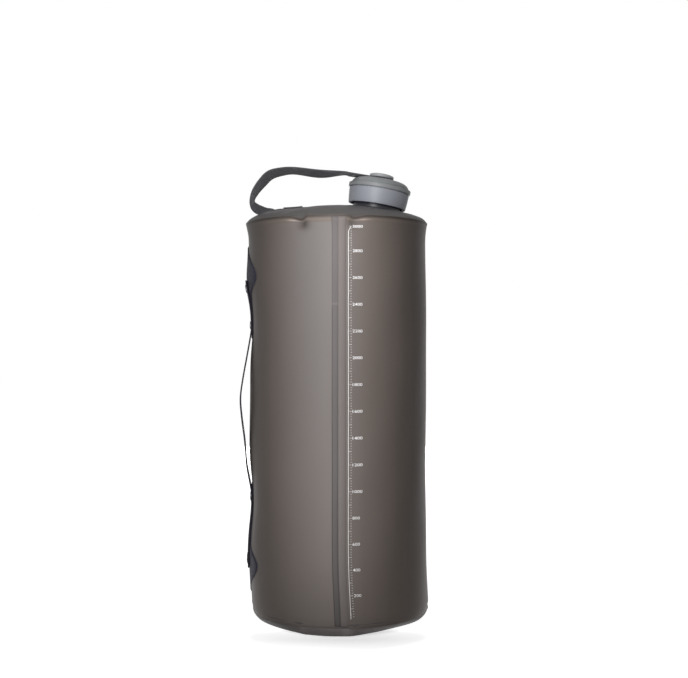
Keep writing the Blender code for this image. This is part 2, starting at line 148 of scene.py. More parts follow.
def colour(name, default, description):
    """A colour property, in linear values."""
    return FloatVectorProperty(
        name=name, description=description, default=default, size=3, min=0, max=1, subtype="COLOR"
    )


def plain(name, default, description):
    """A plain number property."""
    return FloatProperty(name=name, description=description, default=default)


def whole(name, default, description):
    """A whole number property."""
    return IntProperty(name=name, description=description, default=default)


class CarrierBody(PropertyGroup):
    """Sizes of the film wall, its welds and the lid."""

    wall_radius: length("Wall radius", reach("right_wall_panel"), "Outside radius of the film wall")
    wall_height: length("Wall height", WALL_HEIGHT, "Height of the wall's top edge")
    film_thickness: length("Film thickness", 0.0006, "Thickness of one layer of film")
    handle_azimuth: angle("Handle azimuth", 184.5, "Direction of the side handle from the axis")
    upper_root: length("Upper root", 0.1940, "Height at which the handle leaves its upper patch")
    lower_root: length("Lower root", 0.0875, "Height at which the handle leaves its lower patch")
    dent_depth: length("Dent depth", 0.0026, "How far the handle draws the wall in at each root")
    dent_offset: length("Dent offset", 0.0080, "Distance of each dent's middle past its root")
    dent_reach: length("Dent reach", 0.0220, "Half height of each dent")
    dent_spread: angle("Dent spread", 24.0, "Half angle of the wall that is drawn in")
    draw_depth: length("Draw depth", 0.0004, "How far the wall is drawn in all along the handle")
    draw_reach: length("Draw reach", 0.0750, "Half height of the wall that is drawn in")
    ripple_depth: length("Ripple depth", 0.00022, "Height of the soft waves in the film")
    flare: length("Flare", 0.0009, "How far the wall turns out under the top weld")
    flare_reach: length("Flare reach", 0.0062, "Height of the wall that turns out")
    flare_side: length("Flare side", 0.0007, "How much more it turns out on the handle's side")
    pucker_depth: length("Pucker depth", 0.0024, "Depth of the gathers in the film under the top weld")
    pucker_width: angle("Pucker width", 3.0, "Half angle of one gather")
    pucker_middle: length("Pucker middle", 0.0036, "Distance of a gather's middle under the top edge")
    pucker_reach: length("Pucker reach", 0.0031, "Half height of a gather")
    rim_fall: length("Rim fall", 0.0019, "How far a gather pulls the top edge down")
    fall_reach: length("Fall reach", 0.0042, "Height of the wall that is pulled down")
    lean: length("Lean", 0.0019, "How far the foot of the wall stands to the right")
    lean_reach: length("Lean reach", 0.0300, "Height over which the wall leans")
    top_weld: length("Top weld", 0.0042, "Height of the weld at the wall's top edge")
    base_weld: length("Base weld", 0.0064, "Height of the weld at the wall's foot")
    base_tuck: length("Base tuck", 0.0040, "How far the foot of the bag turns in to the floor")
    crease_depth: length("Crease depth", 0.0008, "Depth of the crease over the weld at the foot")
    crease_reach: length("Crease reach", 0.0016, "Half height of the crease")
    dome_rise: length("Dome rise", 0.0127, "Rise of the lid over the wall's top edge")
    side_fullness: plain("Side fullness", 0.52, "Lower is fuller at the sides")
    front_fullness: plain("Front fullness", 0.95, "Lower is fuller at the front")
    flange_drop: length("Flange drop", 0.0020, "How much deeper the spout's flange sits than in the frame")
    lid_sag: length("Lid sag", 0.0012, "How far the strap's patch weighs the lid down")
    lid_inset: length("Lid inset", 0.0002, "Distance from the wall's flare to the lid's edge")
    gather_depth: length("Gather depth", 0.00030, "Height of the gathers round the lid's edge")
    seam_azimuth: angle("Seam azimuth", 271.1, "Direction of the front seam from the axis")
    seam_width: length("Seam width", 0.0092, "Width of each welded seam")


class CarrierWebbing(PropertyGroup):
    """Sizes of the webbing, its patches and its tacks."""

    handle_width: length("Handle width", 0.0150, "Width of the side handle")
    handle_thickness: length("Handle thickness", 0.0010, "Thickness of the side handle")
    handle_bow: length("Handle bow", 0.0064, "How far the handle stands out from the wall")
    sewn_above: length("Sewn above", 0.0360, "Length that is sewn down over the upper root")
    sewn_below: length("Sewn below", 0.0535, "Length that is sewn down under the lower root")
    upper_tail: length("Upper tail", 0.0280, "Length of the narrow part of the upper patch")
    lower_tail: length("Lower tail", 0.0393, "Length of the narrow part of the lower patch")
    tail_overrun: length("Tail overrun", 0.0040, "How far each patch runs past its root")
    tail_half_width: length("Tail half width", 0.0090, "Half width of the narrow part of a patch")
    kite_half_width: length("Kite half width", 0.0260, "Half width of the wide part of a patch")
    kite_flare: length("Kite flare", 0.0135, "Length over which a patch widens")
    kite_point: length("Kite point", 0.0225, "Length over which a patch runs to its point")
    layer_gap: length("Layer gap", SEAT_GAP, "Gap that the frame keeps between two layers")
    press_gap: length("Press gap", 0.00005, "Gap between two layers that are pressed together")
    patch_bulge: length("Patch bulge", 0.0015, "How far the upper patch stands off under the webbing's end")
    bulge_height: length("Bulge height", 0.2300, "Height of the bulge's middle")
    bulge_reach: length("Bulge reach", 0.0135, "Half height of the bulge")
    tack_length: length("Tack length", 0.0050, "Length of a bar tack along the webbing")
    tack_width: length("Tack width", 0.0120, "Width of a bar tack across the webbing")
    tack_inset: length("Tack inset", 0.0030, "Distance of a bar tack from the root or the end")
    tack_bulge: length("Tack bulge", 0.00030, "Height of a bar tack's crown")
    thread_radius: length("Thread radius", 0.00019, "Radius of the sewing thread")
    tack_passes: whole("Tack passes", 34, "Threads across one tack")
    strap_width: length("Strap width", 0.0150, "Width of the carry strap")
    strap_thickness: length("Strap thickness", STRAP_THICKNESS, "Thickness of the carry strap")
    strap_rise: length("Strap rise", 0.0400, "Height that the strap's route is a share of")
    strap_run_in: length("Strap run in", 0.0045, "Straight run at each end of the arch")
    tab_length: length("Tab length", 0.0220, "Length of the strap's end from the knob's axis")
    tab_hole: length("Tab hole", 0.0049, "Radius of the hole in the strap's end")
    anchor_far_x: length("Anchor far x", -0.0203, "Inner edge of the patch on the lid")
    anchor_length: length("Anchor length", 0.0167, "Length of the patch on the lid")
    anchor_border: length("Anchor border", 0.0030, "Width of the patch's weld round the strap")
    anchor_slope: length("Anchor slope", 0.0012, "Run over which the patch comes down to the lid")


class CarrierCap(PropertyGroup):
    """Sizes of the spout and the cap that the frame doesn't give."""

    neck_bore: length("Neck bore", 0.0142, "Inside radius of the spout")
    neck_wall: length("Neck wall", 0.0022, "Wall of the spout")
    flange_thickness: length("Flange thickness", 0.0018, "Thickness of the weld flange")
    thread_pitch: length("Thread pitch", 0.0040, "Rise of the screw thread in one turn")
    ridge_height: length("Ridge height", 0.0012, "Height of the thread's ridge")
    ridge_base: length("Ridge base", 0.0016, "Width of the ridge at its foot")
    ridge_crest: length("Ridge crest", 0.0009, "Width of the ridge at its crest")
    thread_start: length("Thread start", 0.0022, "Height of the thread's start over the flange")
    thread_turns: plain("Thread turns", 1.4, "Turns of the spout's thread")
    thread_clearance: length("Thread clearance", 0.0005, "Gap between the ridge and the cap's bore")
    skirt_taper: length("Skirt taper", 0.0009, "How much wider the skirt is at its top")
    roof_thickness: length("Roof thickness", 0.0016, "Thickness of the cap's roof")
    boss_radius: length("Boss radius", 0.0055, "Radius of the boss for the knob's post")
    edge_round: length("Edge round", 0.00045, "Radius of the moulded edges")
    groove_depth: length("Groove depth", 0.0007, "Depth of the groove under the cover's ring")
    ring_height: length("Ring height", 0.0028, "Height of the cover's proud ring")
    ring_lip: length("Ring lip", 0.0014, "How far the ring comes down over the skirt")
    ring_step: length("Ring step", 0.0016, "Width of the ring's top face")
    plateau_radius: length("Plateau radius", 0.01325, "Radius of the cover's flat top")
    cover_wall: length("Cover wall", 0.0015, "Wall of the cover")
    post_radius: length("Post radius", 0.0030, "Radius of the knob's post")
    knob_side: length("Knob side", 0.0016, "Height of the knob's straight side")
    knob_flatness: length("Knob flatness", 0.0005, "How much flatter the knob is than in the frame")


class CarrierScale(PropertyGroup):
    """Sizes of the printed scale."""

    line_x: length("Line x", 0.0073, "Place of the long line, measured round the wall")
    line_width: length("Line width", 0.00030, "Width of the long line")
    line_foot: length("Line foot", 0.0113, "Height of the long line's foot")
    line_bend: length("Line bend", 0.2592, "Height at which the long line turns to the side")
    line_top: length("Line top", 0.2618, "Height of the long line's top")
    tick_x: length("Tick x", 0.0091, "Middle of the short marks")
    tick_length: length("Tick length", 0.0008, "Length of a short mark")
    tick_height: length("Tick height", 0.00018, "Height of a mark")
    zero_height: length("Zero height", 0.0070, "Height at which an even scale would read nothing")
    step_height: length("Step height", 0.00171, "Height of one step of the scale")
    foot_rise: length("Foot rise", 0.0024, "How far the lowest marks rise over an even scale")
    foot_steps: plain("Foot steps", 24.0, "Steps over which they come back")
    top_fall: length("Top fall", 0.0015, "How far the highest mark falls under an even scale")
    top_steps: plain("Top steps", 5.0, "Steps over which they come back")
    step_amount: whole("Step amount", 20, "Millilitres in one step")
    full_amount: whole("Full amount", 3000, "Millilitres at the top")
    number_every: whole("Number every", 10, "Steps from number to number")
    number_x: length("Number x", 0.0100, "Left edge of the numbers")
    number_height: length("Number height", 0.00185, "Height of the digits")
    digit_width: length("Digit width", 0.00168, "Width that one digit takes")
    ink_thickness: length("Ink thickness", 0.00004, "Thickness of the ink")


class CarrierFinishes(PropertyGroup):
    """Colours of the carrier's materials."""

    film: colour("Film", (0.1175, 0.0975, 0.0865), "Smoky brown film of the wall")
    lid_film: colour("Lid film", (0.068, 0.063, 0.062), "Film of the lid")
    weld: colour("Weld", (0.094, 0.085, 0.084), "Dark side of the welded seam")
    weld_band: colour("Weld band", (0.124, 0.109, 0.104), "Light side of the welded seam")
    patch: colour("Patch", (0.027, 0.025, 0.039), "Coated fabric of the handle's patches")
    webbing: colour("Webbing", (0.030, 0.029, 0.038), "Charcoal webbing of the side handle")
    strap: colour("Strap", (0.088, 0.087, 0.097), "Charcoal webbing of the carry strap")
    thread: colour("Thread", (0.090, 0.090, 0.105), "Sewing thread")
    moulding: colour("Moulding", (0.008, 0.008, 0.015), "Near-black moulded spout")
    cap: colour("Cap", (0.260, 0.270, 0.306), "Blue-grey skirt of the cap")
    cover: colour("Cover", (0.200, 0.209, 0.213), "Grey cover of the cap")
    knob: colour("Knob", (0.410, 0.421, 0.427), "Grey knob")
    ink: colour("Ink", (0.660, 0.655, 0.660), "Ink of the printed scale")
    seal: colour("Seal", (0.500, 0.500, 0.490), "Soft seal in the cap")


class CarrierStage(PropertyGroup):
    """Camera, lights and floor."""

    camera_x: length("Camera x", 0.0045, "Distance of the camera to the right of the axis")
    camera_distance: length("Camera distance", 0.769, "Distance of the camera from the axis")
    camera_height: length("Camera height", 0.190, "Height of the level camera")
    lens: plain("Lens", 58.1, "Focal length in millimetres")
    floor_size: length("Floor size", 8.0, "Side of the floor")
    world_strength: plain("World strength", 0.038, "Light from all round")
    key_power: plain("Key power", 0.28, "Power of the upper front lamp in watts")
    low_power: plain("Low power", 0.078, "Power of the lower front lamp in watts")
    top_power: plain("Top power", 1.9, "Power of the lamp overhead in watts")
    back_power: plain("Back power", 6.0, "Power of the lamp behind in watts")


GROUPS = {
    "carrier_body": CarrierBody,
    "carrier_webbing": CarrierWebbing,
    "carrier_cap": CarrierCap,
    "carrier_scale": CarrierScale,
    "carrier_finishes": CarrierFinishes,
    "carrier_stage": CarrierStage,
}

# Sizes that the wall's formula reads
WALL_SIZES = (
    "wall_radius wall_height handle_azimuth upper_root lower_root dent_depth dent_offset dent_reach "
    "dent_spread draw_depth draw_reach ripple_depth flare flare_reach flare_side pucker_depth pucker_width "
    "pucker_middle pucker_reach rim_fall fall_reach base_weld crease_depth crease_reach lean lean_reach"
).split()
# Sizes that the tree of a bar tack reads
TACK_SIZES = "tack_length tack_width tack_bulge thread_radius tack_passes".split()
# Sizes that the tree of the printed marks reads
MARK_SIZES = (
    "tick_x tick_length tick_height zero_height step_height number_every ink_thickness foot_rise foot_steps "
    "top_fall top_steps line_x line_width line_foot line_bend line_top"
).split()

# Direction of the back seam from the axis
BACK_AZIMUTH = math.pi / 2
# Seam from one side to the other: share of the width, lift over the wall
SEAM_SECTION = (
    (0.0, -0.00012),
    (0.03, 0.00010),
    (0.10, 0.00016),
    (0.25, 0.00016),
    (0.40, 0.00014),
    (0.455, 0.00010),
    (0.475, 0.00002),
    (0.50, 0.00012),
    (0.55, 0.00026),
    (0.64, 0.00034),
    (0.75, 0.00036),
    (0.86, 0.00032),
    (0.94, 0.00022),
    (0.98, 0.00008),
    (1.0, -0.00012),
)
# Share of the seam's width at which the dark lap meets the light bead
SEAM_PART = 0.47
# Seam over the top weld: how far it stops under the top edge, and how much higher it lies than on the wall
SEAM_STOP, SEAM_STEP = 0.0009, 0.00022
# Top weld, from its foot outside over the edge to its foot inside: lift over the wall, and height under
# the top edge
RIM_SECTION = (
    (-0.00045, 0.0042),
    (0.00001, 0.0042),
    (0.00004, 0.0032),
    (0.00008, 0.0020),
    (0.00020, 0.0011),
    (0.00034, 0.0005),
    (0.00040, 0.0),
    (0.00030, -0.00034),
    (0.00004, -0.00052),
    (-0.0004, -0.00046),
    (-0.0008, -0.0001),
    (-0.0010, 0.0006),
    (-0.0010, 0.0040),
)
# Weld at the foot, from its top to the floor: share of the way in, share of the way up
FOOT_SECTION = (
    (0.0, 1.16),
    (0.0, 1.08),
    (0.0, 1.0),
    (0.03, 0.90),
    (0.10, 0.78),
    (0.24, 0.60),
    (0.42, 0.42),
    (0.64, 0.24),
    (0.84, 0.10),
    (1.0, 0.015),
)
# Lifts of the foot's outside and inside over the wall
FOOT_LIFTS = (0.00012, -0.0009)
# Rings of the base film, as shares of the foot's radius
BASE_RINGS = (1.0, 0.985, 0.96, 0.9, 0.8, 0.68, 0.55, 0.42, 0.3, 0.19, 0.1, 0.04, 0.012)
# Base film: height of its edge over the floor, how much higher its middle is, and its thickness
BASE_FLOOR, BASE_RISE, BASE_THICKNESS = 0.00012, 0.0006, 0.0005
# Pressed line round each patch of the handle: distance from the edge, half width, depth
PATCH_LINE = (0.0030, 0.0005, 0.00018)
# Handle bow: share of the way down from the upper root, share of the bow
HANDLE_BOW_SHARES = ((0.15, 0.31), (0.30, 0.76), (0.42, 1.0), (0.54, 0.86), (0.69, 0.54), (0.85, 0.31))
# Carry strap: share of the rim radius in x, share of the strap's rise in z, roll in degrees
STRAP_ROUTE_SHARES = (
    (-0.193, 0.885, 11),
    (-0.481, 0.938, 9),
    (-0.635, 0.918, 12),
    (-0.751, 0.862, 15),
    (-0.834, 0.740, 15),
    (-0.915, 0.575, 10),
    (-0.950, 0.430, 6),
    (-0.918, 0.318, 22),
    (-0.866, 0.256, 28),
    (-0.800, 0.240, 22),
    (-0.735, 0.252, 13),
)
# Gathers under the top weld: azimuth in degrees, share of the depth, and 1 where the steep side comes second
PUCKER_PLACES = ((248.8, 1.0, 1), (279.8, 0.7, -1), (20.0, 0.6, 1), (74.0, 0.7, -1), (131.0, 0.5, 1))
# How much narrower than its width a gather is on both sides, and again on its steep side
PUCKER_SLOPE, STEEP_SLOPE = 1.2, 1.27
# Folds of the foot: azimuth in degrees, how much more it turns in, half angle in degrees
FOOT_FOLDS = (
    (264.0, -0.0030, 20.0),
    (277.5, -0.0014, 6.0),
    (247.6, -0.0010, 5.0),
    (312.0, 0.0042, 24.0),
    (219.0, 0.0012, 20.0),
    (20.0, 0.0016, 18.0),
    (62.0, -0.0020, 14.0),
    (104.0, 0.0022, 20.0),
    (150.0, -0.0016, 16.0),
)
# Peaks of the crease over the foot: azimuth in degrees, share of the weld's height, half angle in radians
CREASE_PEAKS = ((244.0, 0.22, 0.05), (278.5, 0.25, 0.06))
# Painted light on the foot's folds: azimuth in degrees, share of the light colour, half angle in degrees
PAINTED_FOOT_LIGHTS = (
    (248.0, 0.20, 2.5),
    (276.0, 0.35, 3.0),
    (303.0, 1.1, 16.0),
    (60.0, 0.5, 20.0),
    (150.0, 0.4, 14.0),
)
# Height over which the wall's soft waves repeat
RIPPLE_LENGTH = 0.1
# Lid's sag under the strap's patch: place along X, half length, half width
SAG_X, SAG_LENGTH, SAG_WIDTH = -0.027, 0.012, 0.030
# Lid round the spout's flange: how far its flat part reaches past the flange, and the run up to the dome
FLAT_MARGIN, FLAT_RUN = 0.0012, 0.010
# Painted sheen, greyer and lighter, down the wall's front: azimuth and half angle in degrees, and the share
# of each of the film's colours
PAINTED_SHEEN_AZIMUTH, PAINTED_SHEEN_SPREAD, PAINTED_SHEEN_SHARES = 258.0, 26.0, (1.04, 1.15, 1.28)
# Webbing: width of one rib across it and length of one pick along it
RIB_WIDTH, PICK_LENGTH = 0.0016, 0.0012
# Width of one thread of the patches' coated weave
WEAVE_WIDTH = 0.0007
# Steps across a strip of webbing
WEBBING_COLUMNS = 14
# Gap between two printed digits, which a number's last digit doesn't have after it
DIGIT_GAP = 0.0002
# Turns of the cap's thread
CAP_THREAD_TURNS = 1.3
# Moulded finishes: roughness, scale of the grain, its depth, strength of the flow clouds
MOULDINGS = {
    "spout_moulding": (0.4, 2400.0, 0.00004, 0.20),
    "eyelet_moulding": (0.4, 2400.0, 0.00004, 0.08),
    "cap_plastic": (0.50, 1800.0, 0.000025, 0.06),
    "cover_plastic": (0.50, 1100.0, 0.00007, 0.10),
    "knob_plastic": (0.46, 1100.0, 0.00006, 0.10),
    "soft_seal": (0.6, 1500.0, 0.00003, 0.08),
}
# Specular level of the matte film
FILM_GLOSS = 0.10
# Lamps: place, point that it faces, width, height, spread in degrees
LAMPS = {
    "key_light": ((-0.014, -0.155, 0.27), (0, 0, 0.25), 0.03, 0.16, 180),
    "low_light": ((-0.019, -0.155, 0.10), (0, 0, 0.10), 0.03, 0.16, 120),
    "top_light": ((0, 0.05, 1.25), (0, 0, 0.25), 0.9, 0.9, 180),
    "back_light": ((0, 1.20, 0.16), (0, 0, 0.15), 0.3, 0.3, 180),
}


class Link:
    """A node's output that Python's operators work on. Its node method adds any other node to the tree."""

    def __init__(self, tree, socket=None):
        self.tree = tree
        self.socket = socket

    def node(self, kind, settings=None, sockets=None, output=0):
        """Add a node: first its settings, then the values or links of its sockets."""
        node = self.tree.nodes.new(kind)
        for name, value in (settings or {}).items():
            setattr(node, name, value)
        for name, value in (sockets or {}).items():
            if isinstance(value, Link):
                self.tree.links.new(value.socket, node.inputs[name])
            else:
                node.inputs[name].default_value = value
        return Link(self.tree, node.outputs[output])

    def maths(self, operation, *values):
        """A Math node on numbers and links."""
        return self.node("ShaderNodeMath", {"operation": operation}, dict(enumerate(values)))

    def __add__(self, other):
        return self.maths("ADD", self, other)

    def __radd__(self, other):
        return self.maths("ADD", other, self)

    def __sub__(self, other):
        return self.maths("SUBTRACT", self, other)

    def __rsub__(self, other):
        return self.maths("SUBTRACT", other, self)

    def __mul__(self, other):
        return self.maths("MULTIPLY", self, other)

    def __rmul__(self, other):
        return self.maths("MULTIPLY", other, self)

    def __truediv__(self, other):
        return self.maths("DIVIDE", self, other)

    def __neg__(self):
        return self.maths("MULTIPLY", self, -1)

    def clamped(self):
        """This value, kept between 0 and 1."""
        return self.node("ShaderNodeClamp", {}, {"Value": self})

    def blend(self, low, high):
        """A colour between two others, by this value."""
        return self.node(
            "ShaderNodeMix", {"data_type": "RGBA"}, {0: self, 6: opaque(low), 7: opaque(high)}, output=2
        )

    def parts(self):
        """The three numbers of a vector."""
        first = self.node("ShaderNodeSeparateXYZ", {}, {0: self})
        return [Link(self.tree, socket) for socket in first.socket.node.outputs]


def opaque(shade):
    """A colour with its alpha, or a link as it is."""
    return shade if isinstance(shade, Link) else (*shade, 1)


def sine(turn):
    """Sine of a number or of a link."""
    return turn.maths("SINE", turn) if isinstance(turn, Link) else math.sin(turn)


def cosine(turn):
    """Cosine of a number or of a link."""
    return turn.maths("COSINE", turn) if isinstance(turn, Link) else math.cos(turn)


def bell(way):
    """Bell curve of a number or of a link: 1 at 0, and nearly 0 past 2."""
    power = -(way * way)
    return power.maths("EXPONENT", power) if isinstance(way, Link) else math.exp(power)


def positive(value):
    """The value where it is above 0, and 0 elsewhere."""
    return value.maths("MAXIMUM", value, 0) if isinstance(value, Link) else max(value, 0)


def nearness(azimuth, middle, spread):
    """Bell curve round the body: 1 at the middle's azimuth, and nearly 0 past two spreads from it."""
    return bell(2 * sine((azimuth - middle) / 2) / spread)


def pucker(size, azimuth):
    """Share of the gathers' depth at an azimuth."""
    total = 0
    for degrees, share, steep in PUCKER_PLACES:
        turn = azimuth - math.radians(degrees)
        steeper = positive(sine(turn) * steep) * STEEP_SLOPE / size.pucker_width
        total = total + share * bell(sine(turn / 2) * PUCKER_SLOPE / size.pucker_width) * bell(steeper)
    return total


def wall_radius(size, azimuth, height):
    """Outside radius of the film wall, for numbers and for links: dents, ripples, flare and gathers."""
    draw = size.draw_depth * bell((height - (size.upper_root + size.lower_root) / 2) / size.draw_reach)
    for middle in (size.upper_root + size.dent_offset, size.lower_root - size.dent_offset):
        draw = draw + size.dent_depth * bell((height - middle) / size.dent_reach)
    drawn = draw * nearness(azimuth, size.handle_azimuth, size.dent_spread)
    up = height * (math.tau / RIPPLE_LENGTH)
    waves = sine(azimuth * 3 + up * 0.7)
    waves = waves + 0.6 * sine(azimuth * 7 - up * 1.3 + 1) + 0.5 * sine(azimuth * 4 - up * 0.4)
    down = size.wall_height - height
    flare = (size.flare + size.flare_side * (0.5 - 0.5 * cosine(azimuth))) * bell(down / size.flare_reach)
    gather = size.pucker_depth * pucker(size, azimuth) * bell((down - size.pucker_middle) / size.pucker_reach)
    crease = size.crease_depth * bell((height - size.base_weld * crease_height(azimuth)) / size.crease_reach)
    return size.wall_radius - drawn + size.ripple_depth * waves + flare - gather - crease


def fallen(size, azimuth, height):
    """Height of a point of the wall, once the gathers have pulled the top edge down."""
    down = size.wall_height - height
    return height - size.rim_fall * pucker(size, azimuth) * bell(down / size.fall_reach)


def crease_height(azimuth):
    """Share of the weld's height at which the foot's crease runs, which wanders round the bag."""
    share = 1.0 + 0.05 * sine(azimuth * 5 + 0.6) + 0.04 * sine(azimuth * 11 + 2.1)
    for degrees, rise, spread in CREASE_PEAKS:
        share = share + rise * nearness(azimuth, math.radians(degrees), spread)
    return share


def foot_radius(size, azimuth):
    """Radius at which the foot of the bag meets the floor: it turns in more where the film is folded."""
    tuck = size.base_tuck
    for degrees, more, spread in FOOT_FOLDS:
        tuck += more * nearness(azimuth, math.radians(degrees), math.radians(spread))
    return size.wall_radius - tuck


def lean(size, height):
    """How far the wall stands to the right at a height."""
    return size.lean * bell(height / size.lean_reach)


def wall_point(size, azimuth, height, lift=0.0):
    """A point on the wall, at a lift over its outside."""
    radius = wall_radius(size, azimuth, height) + lift
    across = radius * math.cos(azimuth) + lean(size, height)
    return Vector((across, radius * math.sin(azimuth), fallen(size, azimuth, height)))


def eased(share):
    """Smooth step from 0 to 1."""
    share = min(max(share, 0.0), 1.0)
    return share * share * (3 - 2 * share)


def mixed(one, two, share):
    """A value between two others."""
    return one + (two - one) * share


def spaced(start, end, count):
    """Evenly spaced values from start to end, count steps apart."""
    return [start + (end - start) * i / count for i in range(count + 1)]


def lid_radius(size, azimuth):
    """Radius of the lid's edge."""
    return wall_radius(size, azimuth, size.wall_height) - size.lid_inset


def lid_height(size, x, y):
    """Height of the lid film: half an ellipse with gathers at its edge, flat under the spout's flange."""
    azimuth = math.atan2(y, x)
    edge = lid_radius(size, azimuth)
    out = min(math.hypot(x, y) / edge, 1.0)
    fullness = mixed(size.side_fullness, size.front_fullness, math.sin(azimuth) ** 2)
    dome = size.wall_height + size.dome_rise * (1 - out * out) ** fullness
    folds = math.sin(9 * azimuth + 1.0) + 0.7 * math.sin(17 * azimuth) + 0.5 * math.sin(29 * azimuth + 2.0)
    dome += size.gather_depth * folds * out**4 * (1 - out**8)
    dome -= size.rim_fall * pucker(size, azimuth) * out**20
    dome -= size.lid_sag * bell((x - SAG_X) / SAG_LENGTH) * bell(y / SAG_WIDTH)
    origin = CAP_PLACE.translation
    axis = CAP_PLACE.to_3x3() @ Vector((0, 0, 1))
    gap = SEAT_GAP + size.flange_drop
    flat = origin.z - (x - origin.x) * axis.x / axis.z - gap / axis.z
    away = math.hypot(x - origin.x, y)
    flat_radius = cap_span("spout_neck")[2] + FLAT_MARGIN
    return mixed(flat, dome, eased((away - flat_radius) / FLAT_RUN))


def smooth_route(points, steps):
    """Points along a smooth curve through the given ones, with steps between each pair."""
    padded = [2 * points[0] - points[1], *points, 2 * points[-1] - points[-2]]
    route = []
    for before, start, end, after in zip(padded, padded[1:], padded[2:], padded[3:]):
        for i in range(steps):
            t = i / steps
            straight = 2 * start + (end - before) * t
            bend = (2 * before - 5 * start + 4 * end - after) * t**2
            twist = (3 * start - before - 3 * end + after) * t**3
            route.append((straight + bend + twist) / 2)
    return route + [points[-1]]


def mesh_of(name, points, faces, uvs=None):
    """A mesh from points and faces, with a UV map where each point has its place on it."""
    mesh = bpy.data.meshes.new(name)
    mesh.from_pydata(points, [], faces)
    if uvs:
        layer = mesh.uv_layers.new(name="surface")
        for loop in mesh.loops:
            layer.data[loop.index].uv = uvs[loop.vertex_index]
    mesh.validate()
    mesh.shade_smooth()
    return mesh


def grid_mesh(name, rows, uv_rows=None, closed=False, flipped=False):
    """A sheet through rows of points, joined round where it is closed."""
    width = len(rows[0])
    points = [point for row in rows for point in row]
    faces = []
    for i in range(len(rows) - 1):
        for j in range(width if closed else width - 1):
            k = (j + 1) % width
            face = (i * width + j, i * width + k, (i + 1) * width + k, (i + 1) * width + j)
            faces.append(face[::-1] if flipped else face)
    uvs = [uv for row in uv_rows for uv in row] if uv_rows else None
    return mesh_of(name, points, faces, uvs)


@contextlib.contextmanager
def edited(mesh):
    """Edit a mesh as a bmesh, and write it back."""
    bm = bmesh.new()
    bm.from_mesh(mesh)
    bm.verts.ensure_lookup_table()
    yield bm
    bm.to_mesh(mesh)
    bm.free()
    mesh.shade_smooth()


def around(turn, radius, height):
    """A point at a direction, a radius and a height."""
    return Vector((radius * math.cos(turn), radius * math.sin(turn), height))


def turned_mesh(name, profile, steps):
    """A closed shape turned about the spout's axis from (radius, height) points: an outline, or a line
    from axis to axis."""
    bm = bmesh.new()
    turns = [math.tau * j / steps for j in range(steps)]
    rings = []
    for radius, height in profile:
        if radius < 1e-7:
            rings.append([bm.verts.new(CAP_PLACE @ Vector((0, 0, height)))] * steps)
        else:
            rings.append([bm.verts.new(CAP_PLACE @ around(turn, radius, height)) for turn in turns])
    open_line = profile[0][0] < 1e-7
    pairs = list(zip(rings, rings[1:])) + ([] if open_line else [(rings[-1], rings[0])])
    for one, two in pairs:
        for j in range(steps):
            k = (j + 1) % steps
            corners = list(dict.fromkeys((one[j], one[k], two[k], two[j])))
            if len(corners) > 2:
                bm.faces.new(corners)
    bmesh.ops.recalc_face_normals(bm, faces=bm.faces)
    mesh = bpy.data.meshes.new(name)
    bm.to_mesh(mesh)
    bm.free()
    mesh.shade_smooth()
    mesh.set_sharp_from_angle(angle=math.radians(40))
    return mesh


def arc(centre, radius, start, end, steps=6):
    """Points on an arc of a profile, between two angles in degrees."""
    turns = spaced(math.radians(start), math.radians(end), steps)
    return [(centre[0] + radius * math.cos(turn), centre[1] + radius * math.sin(turn)) for turn in turns]


def quarter(centre_radius, low, run, rise, steps):
    """Points on a quarter of an ellipse of a profile, from its widest place up to its top."""
    turns = spaced(0, math.pi / 2, steps)
    return [(centre_radius + run * math.cos(turn), low + rise * math.sin(turn)) for turn in turns]


def new_object(name, mesh):
    """Link a mesh to the scene as an object at the origin."""
    item = bpy.data.objects.new(name, mesh)
    bpy.context.scene.collection.objects.link(item)
    return item


def baked(item):
    """Turn an object's evaluated shape into its plain mesh, and take its modifiers off."""
    graph = bpy.context.evaluated_depsgraph_get()
    mesh = bpy.data.meshes.new_from_object(item.evaluated_get(graph), depsgraph=graph)
    mesh.name = item.name
    item.modifiers.clear()
    item.data = mesh
    return item


def thickened(item, thickness, offset=-1.0, bevel=0.0):
    """Give an open sheet its thickness, with rounded edges where a bevel is given."""
    solid = item.modifiers.new("thickness", "SOLIDIFY")
    solid.thickness = thickness
    solid.offset = offset
    solid.use_even_offset = False
    if bevel:
        edge = item.modifiers.new("edge", "BEVEL")
        edge.width = bevel
        edge.segments = 2
        edge.limit_method = "ANGLE"
        edge.angle_limit = math.radians(50)
    return baked(item)


def dress(mesh, material):
    """Give a mesh one material."""
    mesh.materials.clear()
    mesh.materials.append(material)
    for face in mesh.polygons:
        face.material_index = 0


def finished(item, material, body, slot, *nodes, flattens=False):
    """Give a piece its material, its body and the CAD nodes that it stands for; the slot is not used."""
    dress(item.data, material)
    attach(item, body)
    if nodes:
        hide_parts(*nodes)
    if flattens:
        keep = (WALL_HEIGHT - COLLAPSE - SQUASH_FOOT) / (WALL_HEIGHT - SQUASH_FOOT)
        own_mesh(item)
    return item


def size_label(group, name):
    """A property's label."""
    return group.bl_rna.properties[name].name


def tree_input(tree, name, kind="NodeSocketFloat"):
    """Add a named input to a tree, and give its link."""
    tree.interface.new_socket(name=name, in_out="INPUT", socket_type=kind)
    return Link(tree, tree.nodes.new("NodeGroupInput").outputs[name])


def tree_inputs(tree, group, names):
    """Add a named input for each of a property group's sizes, and give their links by name."""
    return SimpleNamespace(**{name: tree_input(tree, size_label(group, name)) for name in names})


def shape_tree(name):
    """An empty Geometry Nodes tree with an output."""
    tree = bpy.data.node_groups.new(name, "GeometryNodeTree")
    tree.interface.new_socket(name="Geometry", in_out="OUTPUT", socket_type="NodeSocketGeometry")
    return tree


def vector(start, x, y, z):
    """A vector from numbers and links."""
    return start.node("ShaderNodeCombineXYZ", {}, {0: x, 1: y, 2: z})


